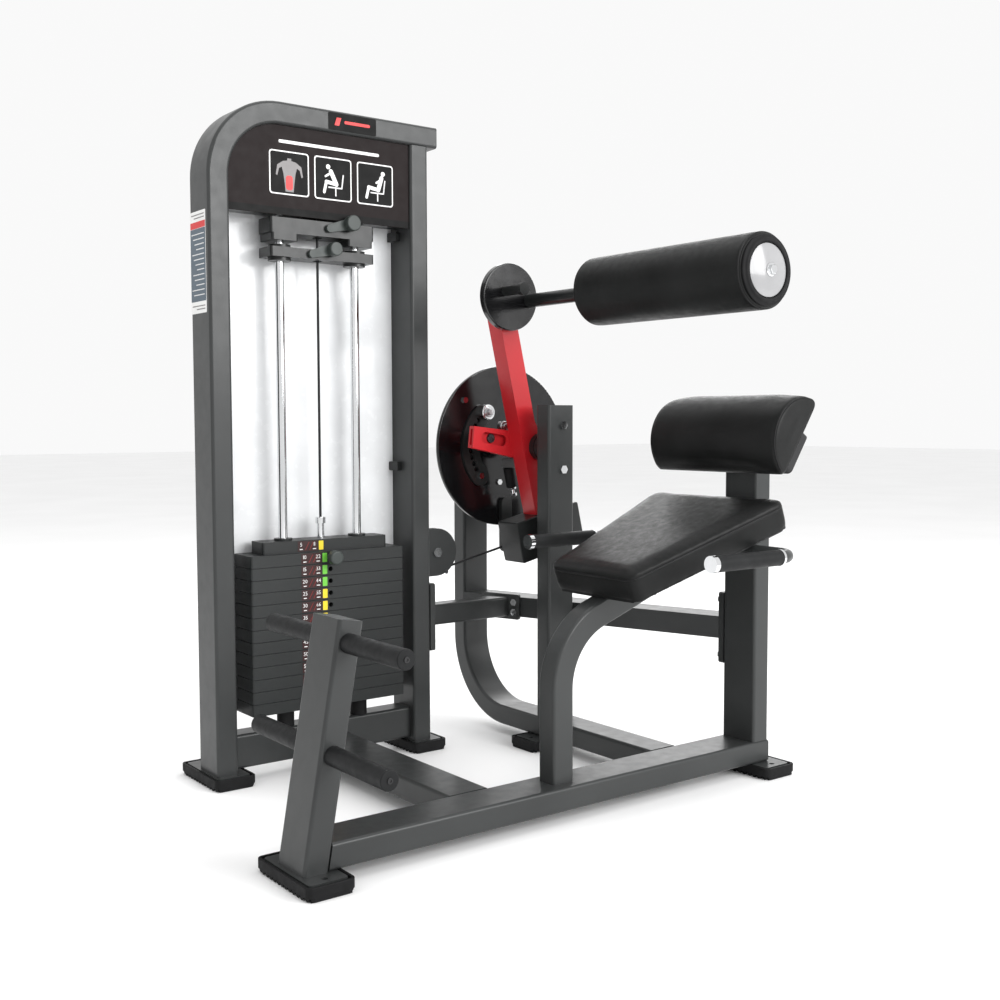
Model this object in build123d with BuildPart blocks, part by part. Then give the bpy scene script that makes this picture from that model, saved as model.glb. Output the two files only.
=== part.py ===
from build123d import *
from math import asin, atan2, cos, pi, radians, sin, tan
import os

os.makedirs("parts", exist_ok=True)

# Selectorised ab crunch machine. Millimetres, +Z up, origin at the bottom centre of the whole machine.
# +X points behind the user, who faces -X. +Y points from the user to the weight tower.

# ---------------------------------------------------------------- driving dimensions
FOOT_THICK = 22.0
FOOT_WIDE, FOOT_LONG = 96.0, 200.0
FLANGE_THICK = 4.0
FLOOR_GAP = FOOT_THICK + FLANGE_THICK      # underside of the base tubes
WALL = 3.0
TUBE_W, TUBE_D = 50.0, 100.0               # main rectangular tube
TUBE_R = 7.0                               # its rounded corners

# Weight tower
TOWER_Y = 384.0                            # centre plane of the uprights
TOWER_TOP = 1528.0
TOWER_MID_X = -199.0
UPRIGHT_PITCH = 518.0                      # centre to centre
LEFT_X = TOWER_MID_X - UPRIGHT_PITCH / 2
RIGHT_X = TOWER_MID_X + UPRIGHT_PITCH / 2
TOP_BEAM_END_X = 111.0
TOWER_BEND = 150.0                         # centreline radius
BASE_BEAM_D, BASE_BEAM_H = 60.0, 78.0
BASE_BEAM_TOP = 110.0

# Weight stack
ROD_Y = 372.0
ROD_R = 10.5
ROD_PITCH = 195.0
STACK_W, STACK_D = 400.0, 92.0
STACK_BOTTOM = 152.0
PLATE_PITCH = 28.0
PLATE_GAP = 1.0
PLATE_COUNT = 13
STACK_TOP = STACK_BOTTOM + PLATE_COUNT * PLATE_PITCH
HEAD_W, HEAD_D, HEAD_H = 326.0, 62.0, 28.0
SELECTOR_R = 8.5
SELECTOR_TOP = 593.0
PIN_Z = STACK_TOP - PLATE_PITCH / 2
PIN_R = 5.0

# Cable and pulleys
CABLE_R = 3.0
GROOVE_R = 48.0                            # cable centreline on every pulley
PULLEY_RIM, PULLEY_T = 54.0, 13.0
AXLE_R = 8.0
TOP_PULLEY_Z = 1413.0
RIGHT_PULLEY_X = 12.0
LOW_PULLEY_X, LOW_PULLEY_Z = 129.0, 487.0
CABLE_Y = 381.0                            # plane of the cable at the upright and the cam
CABLE_RISE = 12.8                          # slope of the cable to the cam, degrees

# User side
SEAT_Y = -261.0                            # centre plane of the user
BASE_TUBE_Y = SEAT_Y
REAR_POST_X = 570.0
LEG_X = -4.0
LEG_W = 54.0
SEAT_TILT = 20.0
SEAT_MID_X, SEAT_MID_Z = 275.0, 577.5      # middle of the seat's top face
SEAT_LONG, SEAT_FRONT_W, SEAT_REAR_W = 418.0, 260.0, 404.0
CUSHION_T, SEAT_BOARD_T, SEAT_WRAP = 56.0, 10.0, 12.0
BACK_TILT = 34.0                           # back pad's lean from upright
BACK_LOW_X, BACK_LOW_Z = 473.5, 689.4      # lower edge of its flat back
BACK_LONG, BACK_DEEP, BACK_WIDE = 204.0, 90.0, 382.0
BACK_BOARD_T, BACK_BOARD_LONG, BACK_BOARD_WIDE = 22.0, 100.0, 356.0
BACK_PLATE_T = 6.0
BACK_BOARD_UP = 28.0
HANDLE_Z, HANDLE_HALF = 539.0, 284.0
HANDLE_TUBE_R, GRIP_R = 13.5, 16.5
HANDLE_FRONT_X, HANDLE_REAR_X = 146.0, 402.0

# Foot stand
STAND_TILT = 9.8
STAND_FOOT_X = -592.0                      # tube centre at the floor
STAND_TOP_Z = 464.0
FOOT_BAR_HALF, FOOT_GRIP_R, FOOT_BAR_R = 238.0, 18.0, 12.5
UPPER_BAR_Z, LOWER_BAR_Z = 427.0, 232.0

# Pivot
PIVOT_X, PIVOT_Z = 354.0, 751.0
FRAME_X = 350.0                            # plane of the bent rear frame and pivot post
FRAME_W, FRAME_T = 80.0, 50.0              # its tube, lying flat
POST_Y = 171.0
POST_TOP = 852.0
REAR_UPRIGHT_Y = 532.0
REAR_UPRIGHT_TOP = 840.0
REAR_BEND = 190.0
SHAFT_R = 15.0
SHAFT_RUN = 15.05                          # bore of what turns on it
DISK_Y, DISK_T, DISK_R = 388.0, 10.0, 208.0
INDEX_R, INDEX_HALF = 109.0, 26.0          # arc of index holes
INDEX_STEP = 8.8
INDEX_K0, INDEX_K1 = -5, 3                 # holes below and above the one in use
PIN_ANGLE = 11.6
INDEX_HOLE_R = 6.6
LUG_R = 256.0                              # cable anchor from the pivot
ARM_TILT = 13.1
ARM_T = 50.0
ARM_FACE_Y = 238.0
BEARING_PITCH, BEARING_BOLT_R = 109.0, 6.0
BEARING_BOLTS = [(PIVOT_X, PIVOT_Z + BEARING_PITCH / 2), (PIVOT_X, PIVOT_Z - BEARING_PITCH / 2)]
HUB_R = 34.0
CW_LOW, CW_HIGH = 165.0, 270.0             # counterweight along the arm, from the pivot
CW_N0, CW_N1 = -127.0, 80.0                # and across it
CW_Y0, CW_Y1 = 223.0, 301.0
GUARD_R, GUARD_T = 82.0, 19.0
GUARD_X, GUARD_Z = 250.0, 1119.0
ROLLER_X, ROLLER_Z = 308.0, 1113.0
ROLLER_R, ROLLER_Y0, ROLLER_Y1 = 80.0, -536.0, -31.0
ROLLER_BAR_R = 17.0
ROLLER_CAP_R = 53.0

# Braces, bolted on by pairs of plates
BRACE_TOP, BRACE_H = 356.0, 52.0
PLATE_T, PLATE_TALL, PLATE_Z = 7.0, 168.0, 330.0
BOLT_R, BOLT_HEAD_R, BOLT_HEAD_H = 5.0, 9.5, 7.0
REAR_BRACE_Y0 = SEAT_Y + TUBE_D / 2 - 2 + 2 * PLATE_T
REAR_BRACE_Y1 = REAR_UPRIGHT_Y - FRAME_T / 2
REAR_BRACE_W = 76.0
REAR_BRACE_X0 = 585.0
REAR_BRACE_X1 = FRAME_X - 3
REAR_PLATE_W = 82.0
TOWER_BRACE_Y, TOWER_BRACE_W = 384.0, 50.0
REAR_PLATE_BOLTS = [(REAR_BRACE_X0 + dx, PLATE_Z + dz) for dx in (-28, 28) for dz in (-66, 66)]
TOWER_PLATE_BOLTS = [(TOWER_Y + dy, PLATE_Z + dz) for dy in (-32, 32) for dz in (-62, 62)]

# Feet, all alike: centre of each
STAND_FOOT = (-582.5, SEAT_Y)
REAR_FOOT = (582.5, SEAT_Y)
LEFT_FOOT = (LEFT_X + 10, 412.0)
RIGHT_FOOT = (RIGHT_X + 10, 412.0)
BENT_FOOT = (358.0, 190.0)
FLANGE_W, FLANGE_LONG, FLANGE_R = 78.0, 176.0, 8.0
FLANGE_HOLE_AT, FLANGE_HOLE_R = 71.0, 6.0


def save(part, name):
    part.label = name
    export_step(part, f"parts/{name}.step")


def facing_y(y):
    """A sketch plane at y whose local axes are world X and Z, facing -Y."""
    return Plane(origin=(0, y, 0), x_dir=(1, 0, 0), z_dir=(0, -1, 0))


def facing_x(x):
    """A sketch plane at x whose local axes are world Y and Z, facing +X."""
    return Plane(origin=(x, 0, 0), x_dir=(0, 1, 0), z_dir=(1, 0, 0))


# ================================================================ frame
# Left upright and top beam, one bent tube on a floor flange
with BuildPart() as tower_bent_tube:
    top_z = TOWER_TOP - TUBE_W / 2
    with BuildLine(facing_y(TOWER_Y)) as tower_path:
        FilletPolyline((LEFT_X, FLOOR_GAP), (LEFT_X, top_z), (TOP_BEAM_END_X, top_z), radius=TOWER_BEND)
    with BuildSketch(Plane.XY.offset(FLOOR_GAP)):
        with Locations((LEFT_X, TOWER_Y)):
            RectangleRounded(TUBE_W, TUBE_D, TUBE_R)
            RectangleRounded(TUBE_W - 2 * WALL, TUBE_D - 2 * WALL, TUBE_R - WALL, mode=Mode.SUBTRACT)
    sweep(path=tower_path.wires()[0])
    with BuildSketch(Plane.XY.offset(FOOT_THICK)):
        with Locations(LEFT_FOOT):
            RectangleRounded(FLANGE_W, FLANGE_LONG, FLANGE_R)
        with Locations((LEFT_FOOT[0], LEFT_FOOT[1] + FLANGE_HOLE_AT)):
            Circle(FLANGE_HOLE_R, mode=Mode.SUBTRACT)
    extrude(amount=FLANGE_THICK)
save(tower_bent_tube.part, "tower_bent_tube")

RIGHT_TOP = TOWER_TOP - TUBE_W
with BuildPart() as tower_right_upright:
    with BuildSketch(Plane.XY.offset(FLOOR_GAP)):
        with Locations((RIGHT_X, TOWER_Y)):
            RectangleRounded(TUBE_W, TUBE_D, TUBE_R)
            RectangleRounded(TUBE_W - 2 * WALL, TUBE_D - 2 * WALL, TUBE_R - WALL, mode=Mode.SUBTRACT)
    extrude(amount=RIGHT_TOP - FLOOR_GAP)
    with BuildSketch(Plane.XY.offset(FOOT_THICK)):
        with Locations(RIGHT_FOOT):
            RectangleRounded(FLANGE_W, FLANGE_LONG, FLANGE_R)
        with Locations((RIGHT_FOOT[0], RIGHT_FOOT[1] + FLANGE_HOLE_AT)):
            Circle(FLANGE_HOLE_R, mode=Mode.SUBTRACT)
    extrude(amount=FLANGE_THICK)
    # slots for the pulleys: the top one through the inner wall, the low one and its cable through the outer
    with BuildSketch(facing_x(RIGHT_X - TUBE_W / 2 - 1)):
        with Locations((CABLE_Y, (TOP_PULLEY_Z + RIGHT_TOP) / 2 - 20)):
            Rectangle(18, RIGHT_TOP - TOP_PULLEY_Z + 100)
    extrude(amount=WALL + 2, mode=Mode.SUBTRACT)
    with BuildSketch(facing_x(RIGHT_X + TUBE_W / 2 + 1)):
        with Locations((CABLE_Y, LOW_PULLEY_Z + 75)):
            SlotOverall(290, 18, rotation=90)
    extrude(amount=-WALL - 2, mode=Mode.SUBTRACT)
    # bolting plate for the tower brace
    with BuildSketch(facing_x(RIGHT_X + TUBE_W / 2)):
        with Locations((TOWER_Y, PLATE_Z)):
            RectangleRounded(TUBE_D, PLATE_TALL, 6)
        with Locations(*TOWER_PLATE_BOLTS):
            Circle(BOLT_R + 0.2, mode=Mode.SUBTRACT)
    extrude(amount=PLATE_T)
save(tower_right_upright.part, "tower_right_upright")

BASE_BEAM_X0 = LEFT_X + TUBE_W / 2
BASE_BEAM_X1 = RIGHT_X - TUBE_W / 2
BASE_BEAM_Y = 354.0 + BASE_BEAM_D / 2
with BuildPart() as tower_base_beam:
    with BuildSketch(facing_x(BASE_BEAM_X0)):
        with Locations((BASE_BEAM_Y, BASE_BEAM_TOP - BASE_BEAM_H / 2)):
            RectangleRounded(BASE_BEAM_D, BASE_BEAM_H, TUBE_R)
            RectangleRounded(BASE_BEAM_D - 2 * WALL, BASE_BEAM_H - 2 * WALL, TUBE_R - WALL, mode=Mode.SUBTRACT)
    extrude(amount=BASE_BEAM_X1 - BASE_BEAM_X0)
save(tower_base_beam.part, "tower_base_beam")

# Cross beam from the tower to the seat's base tube, lying flat
CROSS_X = -191.0
BASE_TUBE_Z = FLOOR_GAP + TUBE_W / 2
CROSS_Y0 = BASE_TUBE_Y + TUBE_D / 2
CROSS_Y1 = BASE_BEAM_Y - BASE_BEAM_D / 2
with BuildPart() as cross_beam:
    with BuildSketch(facing_y(CROSS_Y1)):
        with Locations((CROSS_X, BASE_TUBE_Z)):
            RectangleRounded(TUBE_D, TUBE_W, TUBE_R)
            RectangleRounded(TUBE_D - 2 * WALL, TUBE_W - 2 * WALL, TUBE_R - WALL, mode=Mode.SUBTRACT)
    extrude(amount=CROSS_Y1 - CROSS_Y0)
save(cross_beam.part, "cross_beam")

# Foot stand, leaning towards the seat
STAND_LEAN = tan(radians(STAND_TILT))
with BuildPart() as foot_stand:
    stand_plane = Plane(
        origin=(STAND_FOOT_X, SEAT_Y, 0),
        x_dir=(cos(radians(STAND_TILT)), 0, -sin(radians(STAND_TILT))),
        z_dir=(sin(radians(STAND_TILT)), 0, cos(radians(STAND_TILT))),
    )
    with BuildSketch(stand_plane):
        RectangleRounded(TUBE_W, TUBE_D, TUBE_R)
        RectangleRounded(TUBE_W - 2 * WALL, TUBE_D - 2 * WALL, TUBE_R - WALL, mode=Mode.SUBTRACT)
    extrude(amount=STAND_TOP_Z / cos(radians(STAND_TILT)))
    with BuildSketch(stand_plane.offset(STAND_TOP_Z / cos(radians(STAND_TILT)))):
        RectangleRounded(TUBE_W, TUBE_D, TUBE_R)
    extrude(amount=WALL)
    with BuildSketch(Plane.XY.offset(-30)):
        with Locations((STAND_FOOT_X, SEAT_Y)):
            Rectangle(200, 200)
    extrude(amount=30 + FLOOR_GAP, mode=Mode.SUBTRACT)
    with BuildSketch(Plane.XY.offset(FOOT_THICK)):
        with Locations(STAND_FOOT):
            RectangleRounded(FLANGE_W, FLANGE_LONG, FLANGE_R)
        with Locations((STAND_FOOT[0], SEAT_Y - FLANGE_HOLE_AT)):
            Circle(FLANGE_HOLE_R, mode=Mode.SUBTRACT)
    extrude(amount=FLANGE_THICK)
    for bar_z in (UPPER_BAR_Z, LOWER_BAR_Z):
        with BuildSketch(facing_y(SEAT_Y + TUBE_D)):
            with Locations((STAND_FOOT_X + bar_z * STAND_LEAN, bar_z)):
                Circle(FOOT_BAR_R)
        extrude(amount=2 * TUBE_D, mode=Mode.SUBTRACT)
save(foot_stand.part, "foot_stand")


def stand_face_x(z):
    """Where the stand's +X face stands at height z."""
    return STAND_FOOT_X + TUBE_W / 2 / cos(radians(STAND_TILT)) + z * STAND_LEAN


# Seat base tube, lying flat from the stand to under the rear post
BASE_X1 = REAR_POST_X + TUBE_W / 2
with BuildPart() as seat_base_tube:
    with BuildSketch(facing_x(BASE_X1)):
        with Locations((BASE_TUBE_Y, BASE_TUBE_Z)):
            RectangleRounded(TUBE_D, TUBE_W, TUBE_R)
            RectangleRounded(TUBE_D - 2 * WALL, TUBE_W - 2 * WALL, TUBE_R - WALL, mode=Mode.SUBTRACT)
    extrude(amount=stand_face_x(BASE_TUBE_Z) - 20 - BASE_X1)
    # the front end is mitred to the leaning stand
    with BuildSketch(facing_y(BASE_TUBE_Y + TUBE_D)):
        with BuildLine():
            Polyline(
                (stand_face_x(0), 0),
                (stand_face_x(100), 100),
                (stand_face_x(100) - 80, 100),
                (stand_face_x(0) - 80, 0),
                close=True,
            )
        make_face()
    extrude(amount=2 * TUBE_D, mode=Mode.SUBTRACT)
    with BuildSketch(Plane.XY.offset(FOOT_THICK)):
        with Locations(REAR_FOOT):
            RectangleRounded(FLANGE_W, FLANGE_LONG, FLANGE_R)
        with Locations((REAR_FOOT[0], SEAT_Y - FLANGE_HOLE_AT)):
            Circle(FLANGE_HOLE_R, mode=Mode.SUBTRACT)
    extrude(amount=FLANGE_THICK)
save(seat_base_tube.part, "seat_base_tube")

# Rear post: its top is cut along the lean of the back pad
BASE_TOP = FLOOR_GAP + TUBE_W
BACK_PLANE = Plane(
    origin=(BACK_LOW_X, SEAT_Y, BACK_LOW_Z),
    x_dir=(sin(radians(BACK_TILT)), 0, cos(radians(BACK_TILT))),
    z_dir=(-cos(radians(BACK_TILT)), 0, sin(radians(BACK_TILT))),
)
with BuildPart() as rear_post:
    with BuildSketch(Plane.XY.offset(BASE_TOP)):
        with Locations((REAR_POST_X, SEAT_Y)):
            RectangleRounded(TUBE_W, TUBE_D - 4, TUBE_R)
            RectangleRounded(TUBE_W - 2 * WALL, TUBE_D - 4 - 2 * WALL, TUBE_R - WALL, mode=Mode.SUBTRACT)
    extrude(amount=860 - BASE_TOP)
    with BuildSketch(BACK_PLANE.offset(-BACK_BOARD_T - BACK_PLATE_T)):
        with Locations((100, 0)):
            Rectangle(400, 200)
    extrude(amount=300, mode=Mode.SUBTRACT)
    # welded plate under the back board
    with BuildSketch(BACK_PLANE.offset(-BACK_BOARD_T - BACK_PLATE_T)):
        with Locations((BACK_BOARD_UP + BACK_BOARD_LONG / 2, 0)):
            RectangleRounded(BACK_BOARD_LONG - 6, 220, 8)
    extrude(amount=BACK_PLATE_T)
    # bolting plate for the rear brace
    with BuildSketch(facing_y(REAR_BRACE_Y0 - PLATE_T)):
        with Locations((REAR_BRACE_X0, PLATE_Z)):
            RectangleRounded(REAR_PLATE_W, PLATE_TALL, 6)
        with Locations(*REAR_PLATE_BOLTS):
            Circle(BOLT_R + 0.2, mode=Mode.SUBTRACT)
    extrude(amount=PLATE_T)
save(rear_post.part, "rear_post")

# Curved seat leg, from the base tube up and back under the seat
SEAT_SLOPE = tan(radians(SEAT_TILT))
SEAT_TOTAL = CUSHION_T + SEAT_BOARD_T
UNDER_SEAT_Z = SEAT_MID_Z - SEAT_TOTAL / cos(radians(SEAT_TILT))
LEG_LINE_Z = UNDER_SEAT_Z - LEG_W / 2 / cos(radians(SEAT_TILT)) - 0.4
POST_FACE_X = REAR_POST_X - TUBE_W / 2


def leg_line_z(x):
    """Height of the leg's centreline under the seat."""
    return LEG_LINE_Z + SEAT_SLOPE * (x - SEAT_MID_X)


with BuildPart() as seat_leg:
    with BuildLine(facing_y(SEAT_Y)) as leg_path:
        FilletPolyline(
            (LEG_X, BASE_TOP),
            (LEG_X, leg_line_z(LEG_X)),
            (POST_FACE_X + 60, leg_line_z(POST_FACE_X + 60)),
            radius=157,
        )
    with BuildSketch(Plane.XY.offset(BASE_TOP)):
        with Locations((LEG_X, SEAT_Y)):
            RectangleRounded(LEG_W, 50, TUBE_R)
            RectangleRounded(LEG_W - 2 * WALL, 50 - 2 * WALL, TUBE_R - WALL, mode=Mode.SUBTRACT)
    sweep(path=leg_path.wires()[0])
    with BuildSketch(facing_x(POST_FACE_X)):
        with Locations((SEAT_Y, 620)):
            Rectangle(120, 300)
    extrude(amount=200, mode=Mode.SUBTRACT)
    with BuildSketch(facing_y(SEAT_Y + 60)):
        with Locations((HANDLE_REAR_X, HANDLE_Z)):
            Circle(HANDLE_TUBE_R)
    extrude(amount=120, mode=Mode.SUBTRACT)
save(seat_leg.part, "seat_leg")

# Bent rear frame: along the floor from the base tube, then up behind the disk
REAR_RUN_Z = FLOOR_GAP + FRAME_T / 2
with BuildPart() as bent_rear_frame:
    with BuildLine(facing_x(FRAME_X)) as rear_path:
        FilletPolyline(
            (BASE_TUBE_Y + TUBE_D / 2, REAR_RUN_Z),
            (REAR_UPRIGHT_Y, REAR_RUN_Z),
            (REAR_UPRIGHT_Y, REAR_UPRIGHT_TOP),
            radius=REAR_BEND,
        )
    with BuildSketch(Plane(origin=(FRAME_X, BASE_TUBE_Y + TUBE_D / 2, REAR_RUN_Z), x_dir=(1, 0, 0), z_dir=(0, 1, 0))):
        RectangleRounded(FRAME_W, FRAME_T, TUBE_R)
        RectangleRounded(FRAME_W - 2 * WALL, FRAME_T - 2 * WALL, TUBE_R - WALL, mode=Mode.SUBTRACT)
    sweep(path=rear_path.wires()[0])
    with BuildSketch(Plane.XY.offset(REAR_UPRIGHT_TOP)):
        with Locations((FRAME_X, REAR_UPRIGHT_Y)):
            RectangleRounded(FRAME_W, FRAME_T, TUBE_R)
    extrude(amount=WALL)
    with BuildSketch(Plane.XY.offset(FOOT_THICK)):
        with Locations(BENT_FOOT):
            RectangleRounded(FLANGE_LONG, FLANGE_W, FLANGE_R)
        with Locations((BENT_FOOT[0] - FLANGE_HOLE_AT, BENT_FOOT[1])):
            Circle(FLANGE_HOLE_R, mode=Mode.SUBTRACT)
    extrude(amount=FLANGE_THICK)
    # the pivot shaft runs right through the upright
    with BuildSketch(facing_y(REAR_UPRIGHT_Y + FRAME_T / 2 + 1)):
        with Locations((PIVOT_X, PIVOT_Z)):
            Circle(SHAFT_R + 5)
        with Locations(*BEARING_BOLTS):
            Circle(BEARING_BOLT_R)
    extrude(amount=FRAME_T + 2, mode=Mode.SUBTRACT)
save(bent_rear_frame.part, "bent_rear_frame")

with BuildPart() as pivot_post:
    with BuildSketch(Plane.XY.offset(FLOOR_GAP + FRAME_T)):
        with Locations((FRAME_X, POST_Y)):
            RectangleRounded(FRAME_W, FRAME_T, TUBE_R)
            RectangleRounded(FRAME_W - 2 * WALL, FRAME_T - 2 * WALL, TUBE_R - WALL, mode=Mode.SUBTRACT)
    extrude(amount=POST_TOP - FLOOR_GAP - FRAME_T)
    with BuildSketch(Plane.XY.offset(POST_TOP)):
        with Locations((FRAME_X, POST_Y)):
            RectangleRounded(FRAME_W, FRAME_T, TUBE_R)
    extrude(amount=WALL)
    with BuildSketch(facing_y(POST_Y + FRAME_T / 2 + 1)):
        with Locations((PIVOT_X, PIVOT_Z)):
            Circle(SHAFT_R + 5)
    extrude(amount=WALL + 2, mode=Mode.SUBTRACT)
    with BuildSketch(facing_y(POST_Y + FRAME_T / 2 + 1)):
        with Locations(*BEARING_BOLTS):
            Circle(BEARING_BOLT_R)
    extrude(amount=FRAME_T + 2, mode=Mode.SUBTRACT)
save(pivot_post.part, "pivot_post")

# Rear brace, slantwise from the rear post to the bent frame's upright
brace_run = Vector(REAR_BRACE_X1 - REAR_BRACE_X0, REAR_BRACE_Y1 - REAR_BRACE_Y0, 0)
brace_half_x = REAR_BRACE_W / 2 * brace_run.length / brace_run.Y
with BuildPart() as rear_brace:
    half = brace_half_x
    with BuildSketch(Plane.XY.offset(BRACE_TOP - BRACE_H)):
        with BuildLine():
            Polyline(
                (REAR_BRACE_X0 - half, REAR_BRACE_Y0),
                (REAR_BRACE_X0 + half, REAR_BRACE_Y0),
                (REAR_BRACE_X1 + half, REAR_BRACE_Y1),
                (REAR_BRACE_X1 - half, REAR_BRACE_Y1),
                close=True,
            )
        make_face()
    extrude(amount=BRACE_H)
    offset(amount=-WALL, openings=rear_brace.faces().sort_by(Axis.Y)[-1])
    # end plate, bolted to the one on the rear post
    with BuildSketch(facing_y(REAR_BRACE_Y0)):
        with Locations((REAR_BRACE_X0, PLATE_Z)):
            RectangleRounded(REAR_PLATE_W, PLATE_TALL, 6)
        with Locations(*REAR_PLATE_BOLTS):
            Circle(BOLT_R + 0.2, mode=Mode.SUBTRACT)
    extrude(amount=PLATE_T)
save(rear_brace.part, "rear_brace")

# Tower brace, from the right upright to a plate on the rear brace's slanting face
brace_dir = brace_run.normalized()
brace_side = Vector(-brace_dir.Y, brace_dir.X, 0)
SIDE_PLATE_T = 8.0
side_x = REAR_BRACE_X0 - brace_half_x + (TOWER_BRACE_Y - REAR_BRACE_Y0) / brace_run.Y * brace_run.X
side_plane = Plane(origin=(side_x, TOWER_BRACE_Y, BRACE_TOP - BRACE_H / 2), x_dir=brace_dir, z_dir=brace_side)
TOWER_BRACE_X0 = RIGHT_X + TUBE_W / 2 + 2 * PLATE_T
SIDE_BOLTS = [(du, dv) for du in (-42, 42) for dv in (-13, 13)]
with BuildPart() as tower_brace:
    with BuildSketch(facing_x(TOWER_BRACE_X0)):
        with Locations((TOWER_BRACE_Y, BRACE_TOP - BRACE_H / 2)):
            RectangleRounded(TOWER_BRACE_W, BRACE_H, TUBE_R)
            RectangleRounded(TOWER_BRACE_W - 2 * WALL, BRACE_H - 2 * WALL, TUBE_R - WALL, mode=Mode.SUBTRACT)
    extrude(amount=side_x + 40 - TOWER_BRACE_X0)
    with BuildSketch(side_plane.offset(SIDE_PLATE_T)):
        Rectangle(200, 200)
    extrude(amount=-200, mode=Mode.SUBTRACT)
    with BuildSketch(side_plane):
        RectangleRounded(110, BRACE_H + 14, 5)
        with Locations(*SIDE_BOLTS):
            Circle(BOLT_R + 0.2, mode=Mode.SUBTRACT)
    extrude(amount=SIDE_PLATE_T)
    with BuildSketch(facing_x(TOWER_BRACE_X0 - PLATE_T)):
        with Locations((TOWER_Y, PLATE_Z)):
            RectangleRounded(TUBE_D, PLATE_TALL, 6)
        with Locations(*TOWER_PLATE_BOLTS):
            Circle(BOLT_R + 0.2, mode=Mode.SUBTRACT)
    extrude(amount=PLATE_T)
save(tower_brace.part, "tower_brace")

# Rubber feet, each with a low rim round its steel flange
with BuildPart() as rubber_feet:
    with BuildSketch(Plane.XY):
        with Locations(STAND_FOOT, REAR_FOOT, LEFT_FOOT, RIGHT_FOOT):
            RectangleRounded(FOOT_WIDE, FOOT_LONG, 14)
        with Locations(BENT_FOOT):
            RectangleRounded(FOOT_LONG, FOOT_WIDE, 14)
    extrude(amount=FOOT_THICK + FLANGE_THICK)
    with BuildSketch(Plane.XY.offset(FOOT_THICK)):
        with Locations(STAND_FOOT, REAR_FOOT, LEFT_FOOT, RIGHT_FOOT):
            RectangleRounded(FLANGE_W, FLANGE_LONG, FLANGE_R)
        with Locations(BENT_FOOT):
            RectangleRounded(FLANGE_LONG, FLANGE_W, FLANGE_R)
    extrude(amount=FLANGE_THICK, mode=Mode.SUBTRACT)
    with BuildSketch(Plane.XY):
        with Locations(
            (STAND_FOOT[0], SEAT_Y - FLANGE_HOLE_AT),
            (REAR_FOOT[0], SEAT_Y - FLANGE_HOLE_AT),
            (LEFT_FOOT[0], LEFT_FOOT[1] + FLANGE_HOLE_AT),
            (RIGHT_FOOT[0], RIGHT_FOOT[1] + FLANGE_HOLE_AT),
            (BENT_FOOT[0] - FLANGE_HOLE_AT, BENT_FOOT[1]),
        ):
            Circle(FLANGE_HOLE_R)
    extrude(amount=FOOT_THICK, mode=Mode.SUBTRACT)
save(rubber_feet.part, "rubber_feet")


def stand_line_x(z):
    """Centreline of the stand at height z."""
    return STAND_FOOT_X + z * STAND_LEAN


# Foot bars and their grips
BAR_SPOTS = [(stand_line_x(UPPER_BAR_Z), UPPER_BAR_Z), (stand_line_x(LOWER_BAR_Z), LOWER_BAR_Z)]
GRIP_END_T = 5.0
with BuildPart() as foot_bars:
    with BuildSketch(facing_y(SEAT_Y + FOOT_BAR_HALF - GRIP_END_T)):
        with Locations(*BAR_SPOTS):
            Circle(FOOT_BAR_R)
    extrude(amount=2 * (FOOT_BAR_HALF - GRIP_END_T))
save(foot_bars.part, "foot_bars")

with BuildPart() as foot_grips:
    with BuildSketch(facing_y(SEAT_Y + FOOT_BAR_HALF)):
        with Locations(*BAR_SPOTS):
            Circle(FOOT_GRIP_R)
    extrude(amount=2 * FOOT_BAR_HALF)
    with BuildSketch(facing_y(SEAT_Y + FOOT_BAR_HALF - GRIP_END_T)):
        with Locations(*BAR_SPOTS):
            Circle(FOOT_BAR_R)
    extrude(amount=2 * (FOOT_BAR_HALF - GRIP_END_T), mode=Mode.SUBTRACT)
    with BuildSketch(facing_y(SEAT_Y + TUBE_D / 2 + 1)):
        with Locations(*BAR_SPOTS):
            Rectangle(120, 80)
    extrude(amount=TUBE_D + 2, mode=Mode.SUBTRACT)
    fillet(foot_grips.edges().filter_by(GeomType.CIRCLE).group_by(Axis.Y)[0].sort_by(SortBy.RADIUS)[-2:], 2)
save(foot_grips.part, "foot_grips")

# ================================================================ weight stack
STACK_Y = ROD_Y
ROD_XS = (TOWER_MID_X - ROD_PITCH / 2, TOWER_MID_X + ROD_PITCH / 2)
ROD_SPOTS = [(x, ROD_Y) for x in ROD_XS]
BEAM_UNDER = TOWER_TOP - TUBE_W
HANGER_Z, HANGER_H = 1283.0, 15.0
with BuildPart() as guide_rods:
    with BuildSketch(Plane.XY.offset(BASE_BEAM_TOP)):
        with Locations(*ROD_SPOTS):
            Circle(ROD_R)
    extrude(amount=HANGER_Z + HANGER_H + 4 - BASE_BEAM_TOP)
save(guide_rods.part, "guide_rods")

# Hanger bar for the tops of the rods, notched at the front for the cable
with BuildPart() as rod_hanger:
    with BuildSketch(Plane.XY.offset(HANGER_Z)):
        with Locations(((BASE_BEAM_X0 + BASE_BEAM_X1) / 2, 373)):
            Rectangle(BASE_BEAM_X1 - BASE_BEAM_X0, 52)
        with Locations(*ROD_SPOTS):
            Circle(ROD_R, mode=Mode.SUBTRACT)
        with Locations((TOWER_MID_X, 347)):
            SlotOverall(100, 70, mode=Mode.SUBTRACT)
    extrude(amount=HANGER_H)
save(rod_hanger.part, "rod_hanger")

with BuildPart() as rod_bumpers:
    with BuildSketch(Plane.XY.offset(BASE_BEAM_TOP)):
        with Locations(*ROD_SPOTS):
            Circle(20)
            Circle(ROD_R, mode=Mode.SUBTRACT)
    extrude(amount=STACK_BOTTOM - BASE_BEAM_TOP)
save(rod_bumpers.part, "rod_bumpers")

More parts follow.
